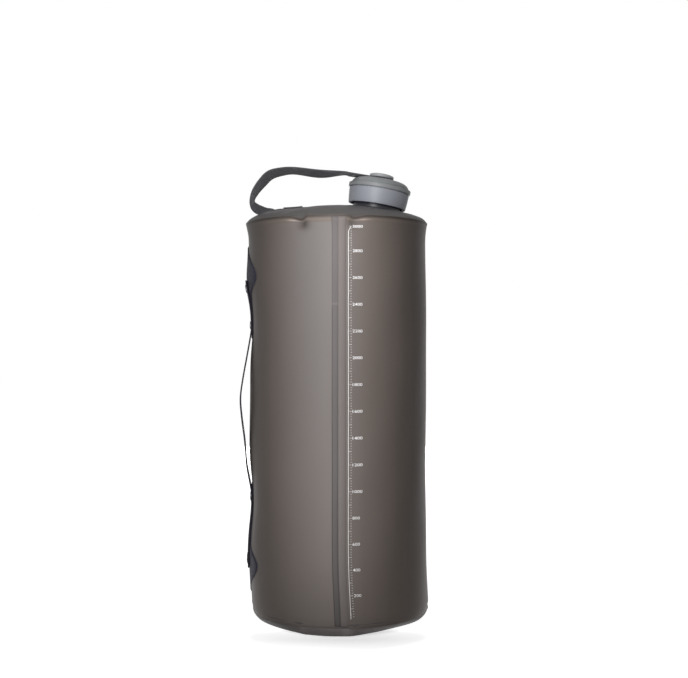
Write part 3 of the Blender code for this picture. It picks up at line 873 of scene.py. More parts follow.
def moved(shape, x, y, z):
    """Put a shape's points at a place."""
    return shape.node("GeometryNodeSetPosition", {}, {"Geometry": shape, "Position": vector(shape, x, y, z)})


def rolled(shape, size, radius, azimuth, height):
    """Put a shape's points round the body, with the wall's lean and the fall of its top edge."""
    across = radius * cosine(azimuth) + lean(size, height)
    return moved(shape, across, radius * sine(azimuth), fallen(size, azimuth, height))


def close_tree(tree, shape):
    """End a Geometry Nodes tree in real meshes with their material."""
    real = shape.node("GeometryNodeRealizeInstances", {}, {"Geometry": shape})
    material = tree_input(tree, "Material", "NodeSocketMaterial")
    done = shape.node("GeometryNodeSetMaterial", {}, {"Geometry": real, "Material": material})
    end = tree.nodes.new("NodeGroupOutput")
    tree.links.new(done.socket, end.inputs["Geometry"])


def grown(name, tree, values, material):
    """Run a Geometry Nodes tree with values for its named inputs, and keep the result as a plain mesh."""
    item = new_object(name, bpy.data.meshes.new(name))
    modifier = item.modifiers.new("shape", "NODES")
    modifier.node_group = tree
    for socket in tree.interface.items_tree:
        if socket.item_type == "SOCKET" and socket.in_out == "INPUT":
            modifier[socket.identifier] = material if socket.name == "Material" else values[socket.name]
    baked(item)
    item.data.shade_smooth()
    return item


def named_sizes(group, names):
    """Values of a property group's sizes, by their labels."""
    return {size_label(group, name): float(getattr(group, name)) for name in names}


def started(name, shade, roughness):
    """A new material: its first link and its shader, with colour and roughness set."""
    material = bpy.data.materials.new(name)
    material.use_nodes = True
    shader = material.node_tree.nodes["Principled BSDF"]
    shader.inputs["Base Color"].default_value = opaque(shade)
    shader.inputs["Roughness"].default_value = roughness
    return material, Link(material.node_tree), shader


def connect(shader, name, link):
    """Feed a shader's socket."""
    link.tree.links.new(link.socket, shader.inputs[name])


def noise(start, place, scale, detail=2.0, roughness=0.5):
    """Noise at a place."""
    sockets = {"Vector": place, "Scale": scale, "Detail": detail, "Roughness": roughness}
    return start.node("ShaderNodeTexNoise", {}, sockets)


def object_place(start, scale=(1, 1, 1)):
    """Object coordinates, stretched."""
    place = start.node("ShaderNodeTexCoord", output=3)
    return start.node("ShaderNodeMapping", {}, {"Vector": place, "Scale": scale})


def relief(start, shader, height, distance, strength=1.0):
    """A bump from a height."""
    sockets = {"Height": height, "Distance": distance, "Strength": strength}
    connect(shader, "Normal", start.node("ShaderNodeBump", {}, sockets))


def tinted(shade, share):
    """A share of a colour."""
    return tuple(c * share for c in shade)


def toned(shader, tone, shade, low, high):
    """Colour a shader between two shares of a colour, by a tone."""
    connect(shader, "Base Color", tone.blend(tinted(shade, low), tinted(shade, high)))


def surface_place(start):
    """The two numbers of the piece's own UV map."""
    return start.node("ShaderNodeUVMap", {"uv_map": "surface"}).parts()[:2]


def seen_rays(start):
    """1 for the rays by which a surface is seen, straight or in another one, and 0 for all others."""
    rays = start.node("ShaderNodeLightPath").socket.node.outputs
    seen = Link(start.tree, rays["Is Camera Ray"]) + Link(start.tree, rays["Is Glossy Ray"])
    return (seen + Link(start.tree, rays["Is Transmission Ray"])).clamped()


def film_material(name, shade, roughness=0.45):
    """Smoky matte film: slow clouds, faint streaks down the roll, a fine matte grain and rubbed spots."""
    material, start, shader = started(name, shade, roughness)
    cloud = noise(start, object_place(start), 18.0, 3.0)
    streak = noise(start, object_place(start, (1, 1, 0.06)), 160.0, 2.0)
    fleck = noise(start, object_place(start), 900.0, 2.0)
    tone = (cloud * 0.6 + streak * 0.3 + fleck * 0.1).clamped()
    toned(shader, tone, shade, 0.86, 1.14)
    wear_and_painted_light = noise(start, object_place(start), 60.0, 4.0, 0.6)
    connect(shader, "Roughness", roughness - 0.05 + 0.10 * wear_and_painted_light)
    grain = noise(start, object_place(start), 4200.0, 1.0)
    relief(start, shader, grain * 0.7 + streak * 0.3, 0.00003)
    shader.inputs["Specular IOR Level"].default_value = FILM_GLOSS
    return material


def round_place(start):
    """Direction from the axis, and height, of a point on the surface."""
    x, y, z = start.node("ShaderNodeTexCoord", output=3).parts()
    return x.maths("ARCTAN2", y, x), z


def overlaid(material, mask, shade):
    """Lay a colour over a material's colour, by a mask."""
    shader = material.node_tree.nodes["Principled BSDF"]
    tone = Link(material.node_tree, shader.inputs["Base Color"].links[0].from_socket)
    connect(shader, "Base Color", mask.clamped().blend(tone, shade))


def wall_material(name, shade, body):
    """Film of the wall: a greyer painted sheen down its front, and a soft brown painted shade in the gathers
    under the top weld.
    """
    material = film_material(name, shade)
    azimuth, height = round_place(Link(material.node_tree))
    # Painted sheen: greyer and lighter down the front, stronger higher up
    front = nearness(azimuth, math.radians(PAINTED_SHEEN_AZIMUTH), math.radians(PAINTED_SHEEN_SPREAD))
    upper = (0.35 + 0.65 * (height / 0.24)).clamped()
    overlaid(material, front * upper * 0.9, tuple(c * share for c, share in zip(shade, PAINTED_SHEEN_SHARES)))
    down = body.wall_height - height
    # Painted shade in the gathers under the top weld
    shadow = near_gathers(azimuth, -0.4, 4.6) * bell((down - 0.0054) / 0.0036)
    overlaid(material, shadow * 0.8, tinted(shade, 0.40))
    return material


def lid_material(name, shade):
    """Film of the lid, with a painted shade ring round the spout's flange."""
    material = film_material(name, shade, 0.5)
    x, y, _ = Link(material.node_tree).node("ShaderNodeTexCoord", output=3).parts()
    x = x - CAP_PLACE.translation.x
    out = x.maths("SQRT", x * x + y * y)
    # Painted shade: a dark ring on the lid round the spout
    overlaid(material, (1 - (out - 0.026) / 0.016).clamped() * 0.75, tinted(shade, 0.40))
    return material


def near_gathers(azimuth, shift, spread):
    """Nearness to the gathers, with their middles shifted to their long side, in degrees."""
    total = 0
    for degrees, share, steep in PUCKER_PLACES:
        middle = math.radians(degrees - shift * steep)
        total = total + share * nearness(azimuth, middle, math.radians(spread))
    return total


def rim_material(name, shade):
    """Film of the top weld: a painted shade line along its top edge, a painted highlight on the lip beside
    each gather, and painted shade in the gathers.
    """
    material = film_material(name, shade)
    start = Link(material.node_tree)
    _, down = surface_place(start)
    azimuth, _ = round_place(start)
    uneven = noise(start, object_place(start), 70.0, 2.0)
    # Colours of the painted shade and of the painted highlight
    dark, light = tinted(shade, 0.36), tinted(shade, 2.4)
    # Painted highlight on the lip beside each gather, with a little random tone
    lip = 0.15 * uneven + near_gathers(azimuth, 5.0, 4.5)
    overlaid(material, bell((down - 0.0024) / 0.0006) * lip, light)
    # Painted shade in the gathers, where the top weld runs over them
    overlaid(material, bell((down - 0.0042) / 0.0016) * 0.8 * near_gathers(azimuth, -0.4, 4.2), dark)
    # Painted shade line along the top edge, where the weld meets the lid
    overlaid(material, bell((down - 0.0003) / 0.0010) * (0.75 + 0.4 * uneven), dark)
    return material


def foot_material(name, shade):
    """Film of the foot's weld: painted light where its folds face the light, and painted shade in the crease.
    """
    material = film_material(name, shade, 0.46)
    start = Link(material.node_tree)
    azimuth, height = round_place(start)
    uneven = noise(start, object_place(start), 110.0, 3.0)
    dark, light = tinted(shade, 0.55), tinted(shade, 2.3)
    # Painted light where the folds face the light, over a little random tone
    wear_and_painted_light = 0.06 * uneven
    for degrees, share, spread in PAINTED_FOOT_LIGHTS:
        wear_and_painted_light = wear_and_painted_light + share * nearness(azimuth, math.radians(degrees), math.radians(spread))
    overlaid(material, wear_and_painted_light * bell((height - 0.0030) / 0.0024), light)
    # Painted shade in the crease over the foot's weld
    overlaid(material, bell((height - 0.0068) / 0.0007) * (0.3 + 0.7 * uneven), dark)
    return material


def weld_material(name, dark, light, edge):
    """Welded seam: a dark lap between two pressed lines beside a light bead, darker towards the foot."""
    material, start, shader = started(name, dark, 0.45)
    across, up = surface_place(start)
    side = ((across - edge) * 24 + 0.5).clamped()
    low_down = ((0.20 - up) / 0.20).clamped()
    below = ((0.2115 - up) / 0.0012).clamped()
    dash = 0.9 * bell((up - 0.2125) / 0.0006)
    side = (side + dash * (1 - side)).clamped()
    lines = bell((across - 0.035) / 0.035) + 0.6 * bell((across - edge + 0.07) / 0.03)
    lines = lines * below * (0.45 + 0.4 * low_down)
    cloud = noise(start, object_place(start, (1, 1, 0.3)), 130.0, 3.0)
    deep = (lines + low_down * 0.4 * (1 - side) + 0.12 * cloud).clamped()
    connect(shader, "Base Color", deep.blend(side.blend(dark, light), tinted(dark, 0.45)))
    connect(shader, "Roughness", 0.42 + 0.08 * cloud)
    grain = noise(start, object_place(start), 2600.0, 1.0)
    relief(start, shader, grain, 0.00004)
    shader.inputs["Specular IOR Level"].default_value = FILM_GLOSS
    return material


def webbing_material(name, shade):
    """Woven webbing on the piece's own UV map in metres: ribs along it, picks across, fuzz and heather."""
    material, start, shader = started(name, shade, 0.85)
    across, along = surface_place(start)
    ribs = sine(across * (math.tau / RIB_WIDTH))
    shift = ribs.maths("SIGN", ribs) * (math.pi / 2)
    picks = sine(along * (math.tau / PICK_LENGTH) + shift)
    yarn = (0.5 + 0.5 * picks) * (0.55 + 0.45 * ribs * ribs)
    fibre = noise(start, object_place(start), 2600.0, 3.0)
    heather = noise(start, object_place(start), 240.0, 2.0)
    tone = (yarn * 0.55 + fibre * 0.25 + heather * 0.20).clamped()
    toned(shader, tone, shade, 0.55, 1.5)
    connect(shader, "Roughness", 0.78 + 0.16 * fibre)
    relief(start, shader, yarn + fibre * 0.25, 0.00022, 0.8)
    shader.inputs["Sheen Weight"].default_value = 0.12
    shader.inputs["Sheen Roughness"].default_value = 0.45
    shader.inputs["Specular IOR Level"].default_value = 0.15
    return material


def patch_material(name, shade):
    """Coated fabric: a fine plain weave under a satin coat, with creases that rub lighter."""
    material, start, shader = started(name, shade, 0.6)
    across, along = surface_place(start)
    weave = sine(across * (math.tau / WEAVE_WIDTH)) * sine(along * (math.tau / WEAVE_WIDTH))
    cloud = noise(start, object_place(start), 90.0, 3.0)
    tone = (0.5 + 0.18 * weave + (cloud - 0.5) * 0.8).clamped()
    toned(shader, tone, shade, 0.75, 1.3)
    connect(shader, "Roughness", 0.52 + 0.14 * cloud)
    relief(start, shader, weave * 0.5 + cloud, 0.00008)
    shader.inputs["Specular IOR Level"].default_value = 0.12
    return material


def thread_material(name, shade):
    """Twisted sewing thread."""
    material, start, shader = started(name, shade, 0.6)
    twist = noise(start, object_place(start), 3800.0, 2.0)
    toned(shader, twist, shade, 0.6, 1.6)
    connect(shader, "Roughness", 0.5 + 0.2 * twist)
    relief(start, shader, twist, 0.00008)
    shader.inputs["Sheen Weight"].default_value = 0.3
    return material


def moulding_material(name, shade):
    """Moulded plastic: a fine eroded grain, faint flow clouds, and gloss that varies with handling."""
    roughness, grain, depth, cloudy = MOULDINGS[name]
    material, start, shader = started(name, shade, roughness)
    fine = noise(start, object_place(start), grain, 2.0)
    flow = noise(start, object_place(start, (1, 1, 2.5)), 45.0, 3.0)
    wear_and_painted_light = noise(start, object_place(start), 140.0, 4.0, 0.6)
    toned(shader, (flow * 0.7 + fine * 0.3).clamped(), shade, 1 - cloudy, 1 + cloudy)
    connect(shader, "Roughness", roughness - 0.06 + 0.12 * wear_and_painted_light)
    relief(start, shader, fine, depth)
    return material


def ink_material(name, shade):
    """Screen-printed ink, a little uneven, with the film's grain in it."""
    material, start, shader = started(name, shade, 0.55)
    worn = noise(start, object_place(start), 1500.0, 3.0)
    toned(shader, worn, shade, 0.86, 1.08)
    connect(shader, "Roughness", 0.5 + 0.15 * worn)
    relief(start, shader, worn, 0.00002)
    return material


def wall_tree(body):
    """Geometry Nodes tree of one film panel: a flat grid, rolled up to the wall's radius."""
    tree = shape_tree("film_panel")
    size = tree_inputs(tree, body, WALL_SIZES)
    first, last = tree_input(tree, "Start"), tree_input(tree, "End")
    grid = {"Size X": 1.0, "Size Y": 1.0, "Vertices X": 217, "Vertices Y": 121}
    sheet = Link(tree).node("GeometryNodeMeshGrid", {}, grid)
    x, y, _ = sheet.node("GeometryNodeInputPosition").parts()
    azimuth = first + (x + 0.5) * (last - first)
    foot = size.base_weld * 0.8
    height = foot + (y + 0.5) * (size.wall_height - foot)
    close_tree(tree, rolled(sheet, size, wall_radius(size, azimuth, height), azimuth, height))
    return tree


class CARRIER_OT_film_wall(Operator):
    """Film wall in two panels, which meet under the seams"""

    bl_idname = "carrier.film_wall"
    bl_label = "Film wall"

    def execute(self, context):
        body = context.scene.carrier_body
        material = wall_material("smoky_film", context.scene.carrier_finishes.film, body)
        tree = wall_tree(body)
        front = body.seam_azimuth
        for name, start, end, node in (
            ("film_wall_left", BACK_AZIMUTH, front, "left_wall_panel"),
            ("film_wall_right", front, BACK_AZIMUTH + math.tau, "right_wall_panel"),
        ):
            values = {**named_sizes(body, WALL_SIZES), "Start": start, "End": end}
            item = grown(name, tree, values, material)
            thickened(item, body.film_thickness)
            finished(item, material, "lower_body", "film", node, flattens=True)
        return {"FINISHED"}


class CARRIER_OT_seams(Operator):
    """Welded seams at the front and the back: a dark lap and a light bead side by side"""

    bl_idname = "carrier.seams"
    bl_label = "Welded seams"

    def execute(self, context):
        body = context.scene.carrier_body
        finishes = context.scene.carrier_finishes
        material = weld_material("welded_seam", finishes.weld, finishes.weld_band, SEAM_PART)
        heights = spaced(body.base_weld * 0.9, body.wall_height - SEAM_STOP, 150)
        ways = [(share - 0.5) * body.seam_width / body.wall_radius for share, _ in SEAM_SECTION]
        for name, azimuth, node in (
            ("front_seam", body.seam_azimuth, "front_seam_strip"),
            ("back_seam", BACK_AZIMUTH, "back_seam_strip"),
        ):
            turns = [azimuth + way for way in ways]
            rows = []
            for height in heights:
                over = SEAM_STEP * eased((height - body.wall_height + body.top_weld + 0.001) / 0.002)
                lifts = [lift + over for _, lift in SEAM_SECTION]
                rows.append([wall_point(body, turn, height, lift) for turn, lift in zip(turns, lifts)])
            uv_rows = [[(share, height) for share, _ in SEAM_SECTION] for height in heights]
            item = new_object(name, grid_mesh(name, rows, uv_rows))
            thickened(item, body.film_thickness / 2)
            finished(item, material, "lower_body", "welded_film", node, flattens=True)
        return {"FINISHED"}


def band_mesh(name, turns, section, downs=None):
    """A closed band round the bag. The section gives its ring of points at an azimuth, and downs the
    height of each of them on the UV map."""
    rows = [section(turn) for turn in turns]
    uv_rows = [[(turn, down) for down in downs] for turn in turns + turns[:1]] if downs else None
    mesh = grid_mesh(name, rows + rows[:1], uv_rows)
    width = len(rows[0])
    with edited(mesh) as bm:
        for one in range(0, len(rows) * width, width):
            two = one + width
            corners = (one + width - 1, one, two, two + width - 1)
            bm.faces.new([bm.verts[i] for i in corners])
        bmesh.ops.remove_doubles(bm, verts=bm.verts, dist=1e-6)
        bmesh.ops.recalc_face_normals(bm, faces=bm.faces)
    mesh.set_sharp_from_angle(angle=math.radians(50))
    return mesh


class CARRIER_OT_top_weld(Operator):
    """Weld at the top edge, where the lid meets the wall, pulled down at the gathers"""

    bl_idname = "carrier.top_weld"
    bl_label = "Top weld"

    def execute(self, context):
        body = context.scene.carrier_body

        def section(turn):
            ring = []
            for lift, down in RIM_SECTION:
                flat = wall_point(body, turn, body.wall_height - max(down, 0.0), lift)
                ring.append(flat - Vector((0, 0, min(down, 0.0))))
            return ring

        turns = spaced(0, math.tau, 720)[:-1]
        downs = [down for _, down in RIM_SECTION]
        item = new_object("top_weld", band_mesh("top_weld", turns, section, downs))
        material = rim_material("top_weld_film", context.scene.carrier_finishes.film)
        finished(item, material, "top_end", "welded_film", "top_weld_rim")
        return {"FINISHED"}


class CARRIER_OT_base(Operator):
    """Foot of the bag: the weld that turns in to the floor, and the base film"""

    bl_idname = "carrier.base"
    bl_label = "Foot and base"

    def execute(self, context):
        body = context.scene.carrier_body
        finishes = context.scene.carrier_finishes

        def section(turn):
            top = body.base_weld * crease_height(turn)
            foot = foot_radius(body, turn)
            ring = []
            for lift in FOOT_LIFTS:
                line = []
                for inward, up in FOOT_SECTION:
                    wall = wall_radius(body, turn, top * up) + lift * (1 if up < 1.1 else -1)
                    radius = mixed(wall, foot + lift, inward)
                    across = lean(body, top * up)
                    rise = top * up + (0.0007 * inward if lift < 0 else 0.0)
                    line.append(Vector((radius * math.cos(turn) + across, radius * math.sin(turn), rise)))
                ring += line if lift > 0 else line[:0:-1]
            return ring

        turns = spaced(0, math.tau, 540)[:-1]
        item = new_object("base_weld", band_mesh("base_weld", turns, section))
        material = foot_material("base_weld_film", finishes.weld)
        finished(item, material, "lower_body", "welded_film", "bottom_weld_rim")
        rows = []
        for share in BASE_RINGS:
            ring = []
            for turn in turns[::3]:
                radius = foot_radius(body, turn)
                edge = Vector((radius * math.cos(turn) + lean(body, 0), radius * math.sin(turn), 0))
                rise = BASE_RISE * eased((1 - share) * 6) * (1 + 0.5 * math.sin(5 * turn + 9 * share))
                ring.append(Vector((edge.x * share, edge.y * share, BASE_FLOOR + rise)))
            rows.append(ring)
        mesh = grid_mesh("base_film", rows, closed=True, flipped=True)
        close_hole(mesh, len(rows[0]))
        item = new_object("base_film", mesh)
        thickened(item, BASE_THICKNESS)
        film = film_material("base_film_finish", finishes.film, 0.5)
        finished(item, film, "lower_body", "film", "base_panel")
        return {"FINISHED"}


def close_hole(mesh, count):
    """Close the small hole that the last row of a closed sheet leaves, with a fan of faces."""
    with edited(mesh) as bm:
        ring = bm.verts[-count:]
        middle = bm.verts.new(sum((v.co for v in ring), Vector()) / count)
        for one, two in zip(ring, ring[1:] + ring[:1]):
            bm.faces.new((two, one, middle))
        bm.normal_update()


class CARRIER_OT_lid(Operator):
    """Domed film lid with the spout's hole and gathers at its edge"""

    bl_idname = "carrier.lid"
    bl_label = "Lid"

    def execute(self, context):
        body = context.scene.carrier_body
        cap = context.scene.carrier_cap
        origin = CAP_PLACE.translation
        hole = cap.neck_bore + SPIGOT_WALL + SEAT_GAP
        turns = spaced(0, math.tau, 360)[:-1]
        rows = []
        for even in spaced(0, 1, 64):
            # Rings lie closer together towards the edge, where the dome turns down
            share = 1 - (1 - even) ** 1.5
            ring = []
            for turn in turns:
                edge = lid_radius(body, turn)
                x = mixed(origin.x + hole * math.cos(turn), edge * math.cos(turn), share)
                y = mixed(hole, edge, share) * math.sin(turn)
                ring.append(Vector((x, y, lid_height(body, x, y))))
            rows.append(ring)
        for down in (0.0008, 0.0020, 0.0038):
            rows.append([wall_point(body, turn, body.wall_height - down, -0.0009) for turn in turns])
        item = new_object("lid_film", grid_mesh("lid_film", rows, closed=True, flipped=True))
        thickened(item, body.film_thickness)
        material = lid_material("lid_film_finish", context.scene.carrier_finishes.lid_film)
        finished(item, material, "top_end", "lid_film", "top_panel")
        return {"FINISHED"}


class CARRIER_OT_handle_patches(Operator):
    """Spade-shaped patches of coated fabric that hold the side handle to the wall"""

    bl_idname = "carrier.handle_patches"
    bl_label = "Handle patches"

    def execute(self, context):
        body = context.scene.carrier_body
        web = context.scene.carrier_webbing
        material = patch_material("coated_fabric", context.scene.carrier_finishes.patch)
        line_in, line_half, line_depth = PATCH_LINE
        for name, root, way, tail, node in (
            ("upper_handle_patch", body.upper_root, 1, web.upper_tail, "upper_side_patch"),
            ("lower_handle_patch", body.lower_root, -1, web.lower_tail, "lower_side_patch"),
        ):
            stretches = (
                (tail, web.tail_half_width, web.tail_half_width, 24),
                (web.kite_flare, web.tail_half_width, web.kite_half_width, 16),
                (web.kite_point, web.kite_half_width, 0.0009, 26),
            )
            lines = [(root - way * web.tail_overrun, web.tail_half_width - 0.0014)]
            start = lines[0][0]
            lines.append((start + way * 0.0006, web.tail_half_width - 0.0004))
            for run, wide_in, wide_out, steps in stretches:
                for share in spaced(0, 1, steps)[1:]:
                    lines.append((start + way * run * share, mixed(wide_in, wide_out, eased(share))))
                start += way * run
            columns = spaced(-1, 1, 36)
            rows = []
            for i, (height, width) in enumerate(lines):
                end = min(i, len(lines) - 1 - i)
                row = []
                for column in columns:
                    side = (1 - abs(column)) * width
                    border = eased(min(side / 0.0011, end / 1.6))
                    pressed = line_depth * bell((side - line_in) / line_half)
                    lift = mixed(-0.0001, web.press_gap + body.film_thickness, border) - pressed
                    lift += border * patch_bulge(web, height) * bell(column * width / 0.012)
                    turn = body.handle_azimuth + column * width / body.wall_radius
                    row.append(wall_point(body, turn, height, lift))
                rows.append(row)
            uv_rows = [[(column * width, height) for column in columns] for height, width in lines]
            item = new_object(name, grid_mesh(name, rows, uv_rows, flipped=way < 0))
            thickened(item, body.film_thickness)
            finished(item, material, "lower_body", "patch_film", node, flattens=True)
        return {"FINISHED"}


def handle_frame(body):
    """Outward and sideways directions at the side handle."""
    outward = Vector((math.cos(body.handle_azimuth), math.sin(body.handle_azimuth), 0))
    return outward, Vector((-outward.y, outward.x, 0))


def patch_bulge(web, height):
    """How far the upper patch stands off the wall at a height."""
    return web.patch_bulge * bell((height - web.bulge_height) / web.bulge_reach)


def sewn_radius(body, web, height):
    """Radius of the middle of the webbing where it is sewn down, at a height."""
    lift = body.film_thickness + web.handle_thickness / 2 + patch_bulge(web, height)
    point = wall_point(body, body.handle_azimuth, height, lift)
    return point.dot(handle_frame(body)[0])


def webbing_mesh(name, places, width):
    """A strip of webbing through places, each a middle and a sideways direction. Its UV map is in metres."""
    edges = spaced(-0.5, 0.5, WEBBING_COLUMNS)
    rows, uv_rows, run = [], [], 0.0
    for i, (middle, sideways) in enumerate(places):
        if i:
            run += (middle - places[i - 1][0]).length
        rows.append([middle + sideways * (edge * width) for edge in edges])
        uv_rows.append([(edge * width, run) for edge in edges])
    return grid_mesh(name, rows, uv_rows, flipped=True)


class CARRIER_OT_side_handle(Operator):
    """Webbing of the side handle, sewn down at both ends and bowed out between them"""

    bl_idname = "carrier.side_handle"
    bl_label = "Side handle"

    def execute(self, context):
        body = context.scene.carrier_body
        web = context.scene.carrier_webbing
        half = web.handle_thickness / 2
        outward, sideways = handle_frame(body)
        top, foot = body.upper_root, body.lower_root
        points = [Vector((sewn_radius(body, web, z), z)) for z in spaced(top + web.sewn_above, top, 8)]
        for down, out in HANDLE_BOW_SHARES:
            points.append(Vector((body.wall_radius + out * web.handle_bow - half, mixed(top, foot, down))))
        points += [Vector((sewn_radius(body, web, z), z)) for z in spaced(foot, foot - web.sewn_below, 9)]
        route = smooth_route(points, 10)
        places = [(outward * point.x + Vector((0, 0, point.y)), sideways) for point in route]
        item = new_object("side_handle", webbing_mesh("side_handle", places, web.handle_width))
        thickened(item, web.handle_thickness, offset=0.0, bevel=0.00028)
        material = webbing_material("handle_webbing", context.scene.carrier_finishes.webbing)
        finished(item, material, "lower_body", "webbing", "side_handle_webbing", flattens=True)
        return {"FINISHED"}


def tack_tree(web):
    """Geometry Nodes tree of a bar tack: one thread that zigzags across the webbing, higher in its middle."""
    tree = shape_tree("bar_tack")
    size = tree_inputs(tree, web, TACK_SIZES)
    place = tree_input(tree, "Place", "NodeSocketVector")
    turn = tree_input(tree, "Turn", "NodeSocketRotation")
    line = place.node("GeometryNodeMeshLine", {"mode": "OFFSET"}, {"Count": size.tack_passes})
    index = line.node("GeometryNodeInputIndex")
    odd = index.maths("MODULO", index, 2)
    across = (index / (size.tack_passes - 1) - 0.5) * size.tack_width
    line = moved(line, across, 0.0, (odd - 0.5) * size.tack_length)
    path = line.node("GeometryNodeMeshToCurve", {}, {"Mesh": line})
    fine = path.node("GeometryNodeSubdivideCurve", {}, {"Curve": path, "Cuts": 3})
    x, _, z = fine.node("GeometryNodeInputPosition").parts()
    crown = 1 - (2 * z / size.tack_length) * (2 * z / size.tack_length)
    fine = moved(fine, x, -size.tack_bulge * crown, z)
    ring = {"Resolution": 6, "Radius": size.thread_radius}
    tube = {"Curve": fine, "Profile Curve": fine.node("GeometryNodeCurvePrimitiveCircle", {}, ring)}
    thread = fine.node("GeometryNodeCurveToMesh", {}, {**tube, "Fill Caps": True})
    sockets = {"Geometry": thread, "Translation": place, "Rotation": turn}
    close_tree(tree, thread.node("GeometryNodeTransform", {}, sockets))
    return tree


class CARRIER_OT_bar_tacks(Operator):
    """Bar tacks of sewing thread on the side handle"""

    bl_idname = "carrier.bar_tacks"
    bl_label = "Bar tacks"

    def execute(self, context):
        body = context.scene.carrier_body
        web = context.scene.carrier_webbing
        material = thread_material("sewing_thread", context.scene.carrier_finishes.thread)
        tree = tack_tree(web)
        outward, sideways = handle_frame(body)
        top, foot = body.upper_root, body.lower_root
        middle = web.tack_inset + web.tack_length / 2
        for name, height, node in (
            ("upper_end_tack", top + web.sewn_above - middle, "upper_end_bartack"),
            ("upper_root_tack", top + middle, "upper_root_bartack"),
            ("lower_root_tack", foot - middle, "lower_root_bartack"),
            ("lower_end_tack", foot - web.sewn_below + middle, "lower_end_bartack"),
        ):
            ends = [height + way * web.tack_length / 2 for way in (-1, 1)]
            below, above = (sewn_radius(body, web, end) for end in ends)
            up = (outward * (above - below) + Vector((0, 0, web.tack_length))).normalized()
            facing = sideways.cross(up).normalized()
            turn = Matrix((sideways, -facing, up)).transposed().to_euler()
            lift = sewn_radius(body, web, height) + web.handle_thickness / 2 + web.thread_radius * 0.5
            place = outward * lift + Vector((0, 0, height))
            values = {**named_sizes(web, TACK_SIZES), "Place": tuple(place), "Turn": tuple(turn)}
            item = grown(name, tree, values, material)
            finished(item, material, "lower_body", "thread", node, flattens=True)
        return {"FINISHED"}


def strap_end_x(web):
    """Where the carry strap ends under its patch."""
    return web.anchor_far_x - web.anchor_border - web.anchor_slope - web.layer_gap


class CARRIER_OT_strap_patch(Operator):
    """Film patch on the lid, welded down over the end of the carry strap"""

    bl_idname = "carrier.strap_patch"
    bl_label = "Strap patch"

    def execute(self, context):
        body = context.scene.carrier_body
        web = context.scene.carrier_webbing
        edge = web.strap_width / 2 + web.layer_gap
        stack = 2 * web.press_gap + web.strap_thickness + body.film_thickness
        half = edge + web.anchor_slope + web.anchor_border
        far = web.anchor_far_x
        stop = strap_end_x(web) + web.layer_gap
        corner_round = 0.0035
        rows, uv_rows = [], []
        for x in spaced(far - web.anchor_length, far, 48):
            corner = max(0.0, x - (far - corner_round)) / corner_round
            width = half - corner_round * (1 - math.sqrt(max(0.0, 1 - corner * corner)))
            row, uv_row = [], []
            for y in spaced(-width, width, 56):
                past = max(abs(y) - edge, x - stop)
                top = lid_height(body, x, 0) + stack
                low = lid_height(body, x, y) + web.press_gap + body.film_thickness
                border = eased(min((width - abs(y)) / 0.0009, (far - x) / 0.0009))
                z = mixed(top, low, eased(past / web.anchor_slope)) - 0.0008 * (1 - border)
                row.append(Vector((x, y, z)))
                uv_row.append((y, x))
            rows.append(row)
            uv_rows.append(uv_row)
        item = new_object("strap_patch", grid_mesh("strap_patch", rows, uv_rows, flipped=True))
        thickened(item, body.film_thickness)
        # Painted light: the patch is the lid's film made lighter, to lift its shaded front edge
        shade = tinted(context.scene.carrier_finishes.lid_film, 1.3)
        material = film_material("strap_patch_film", shade, 0.48)
        finished(item, material, "top_end", "lid_film", "strap_anchor_patch")
        return {"FINISHED"}


def strap_places(body, web):
    """Middles and sideways directions along the carry strap, from its end under the knob."""
    half = web.strap_thickness / 2
    crown_top = cap_span("cap_crown")[1] + web.layer_gap
    start = CAP_PLACE @ Vector((-web.tab_length - web.layer_gap, 0, crown_top + half))
    ahead = CAP_PLACE @ Vector((-web.tab_length - web.layer_gap - web.strap_run_in, 0, crown_top + half))
    points = [(*start, 0), (*ahead, 0)]
    for x_share, z_share, roll in STRAP_ROUTE_SHARES:
        x = x_share * reach("top_weld_rim")
        points.append((x, 0, body.wall_height + z_share * web.strap_rise, math.radians(roll)))
    last = strap_end_x(web)
    for x in spaced(web.anchor_far_x - web.anchor_length - web.strap_run_in, last, 5):
        points.append((x, 0, lid_height(body, x, 0) + web.press_gap + half, 0))
    route = smooth_route([Vector(point) for point in points], 12)
    places = []
    for before, here, after in zip(route[:1] + route, route, route[1:] + route[-1:]):
        along = (after - before).to_3d().normalized()
        if here is route[0]:
            along = (ahead - start).normalized()
        places.append((here.to_3d(), Matrix.Rotation(here.w, 3, along) @ Vector((0, 1, 0))))
    return places


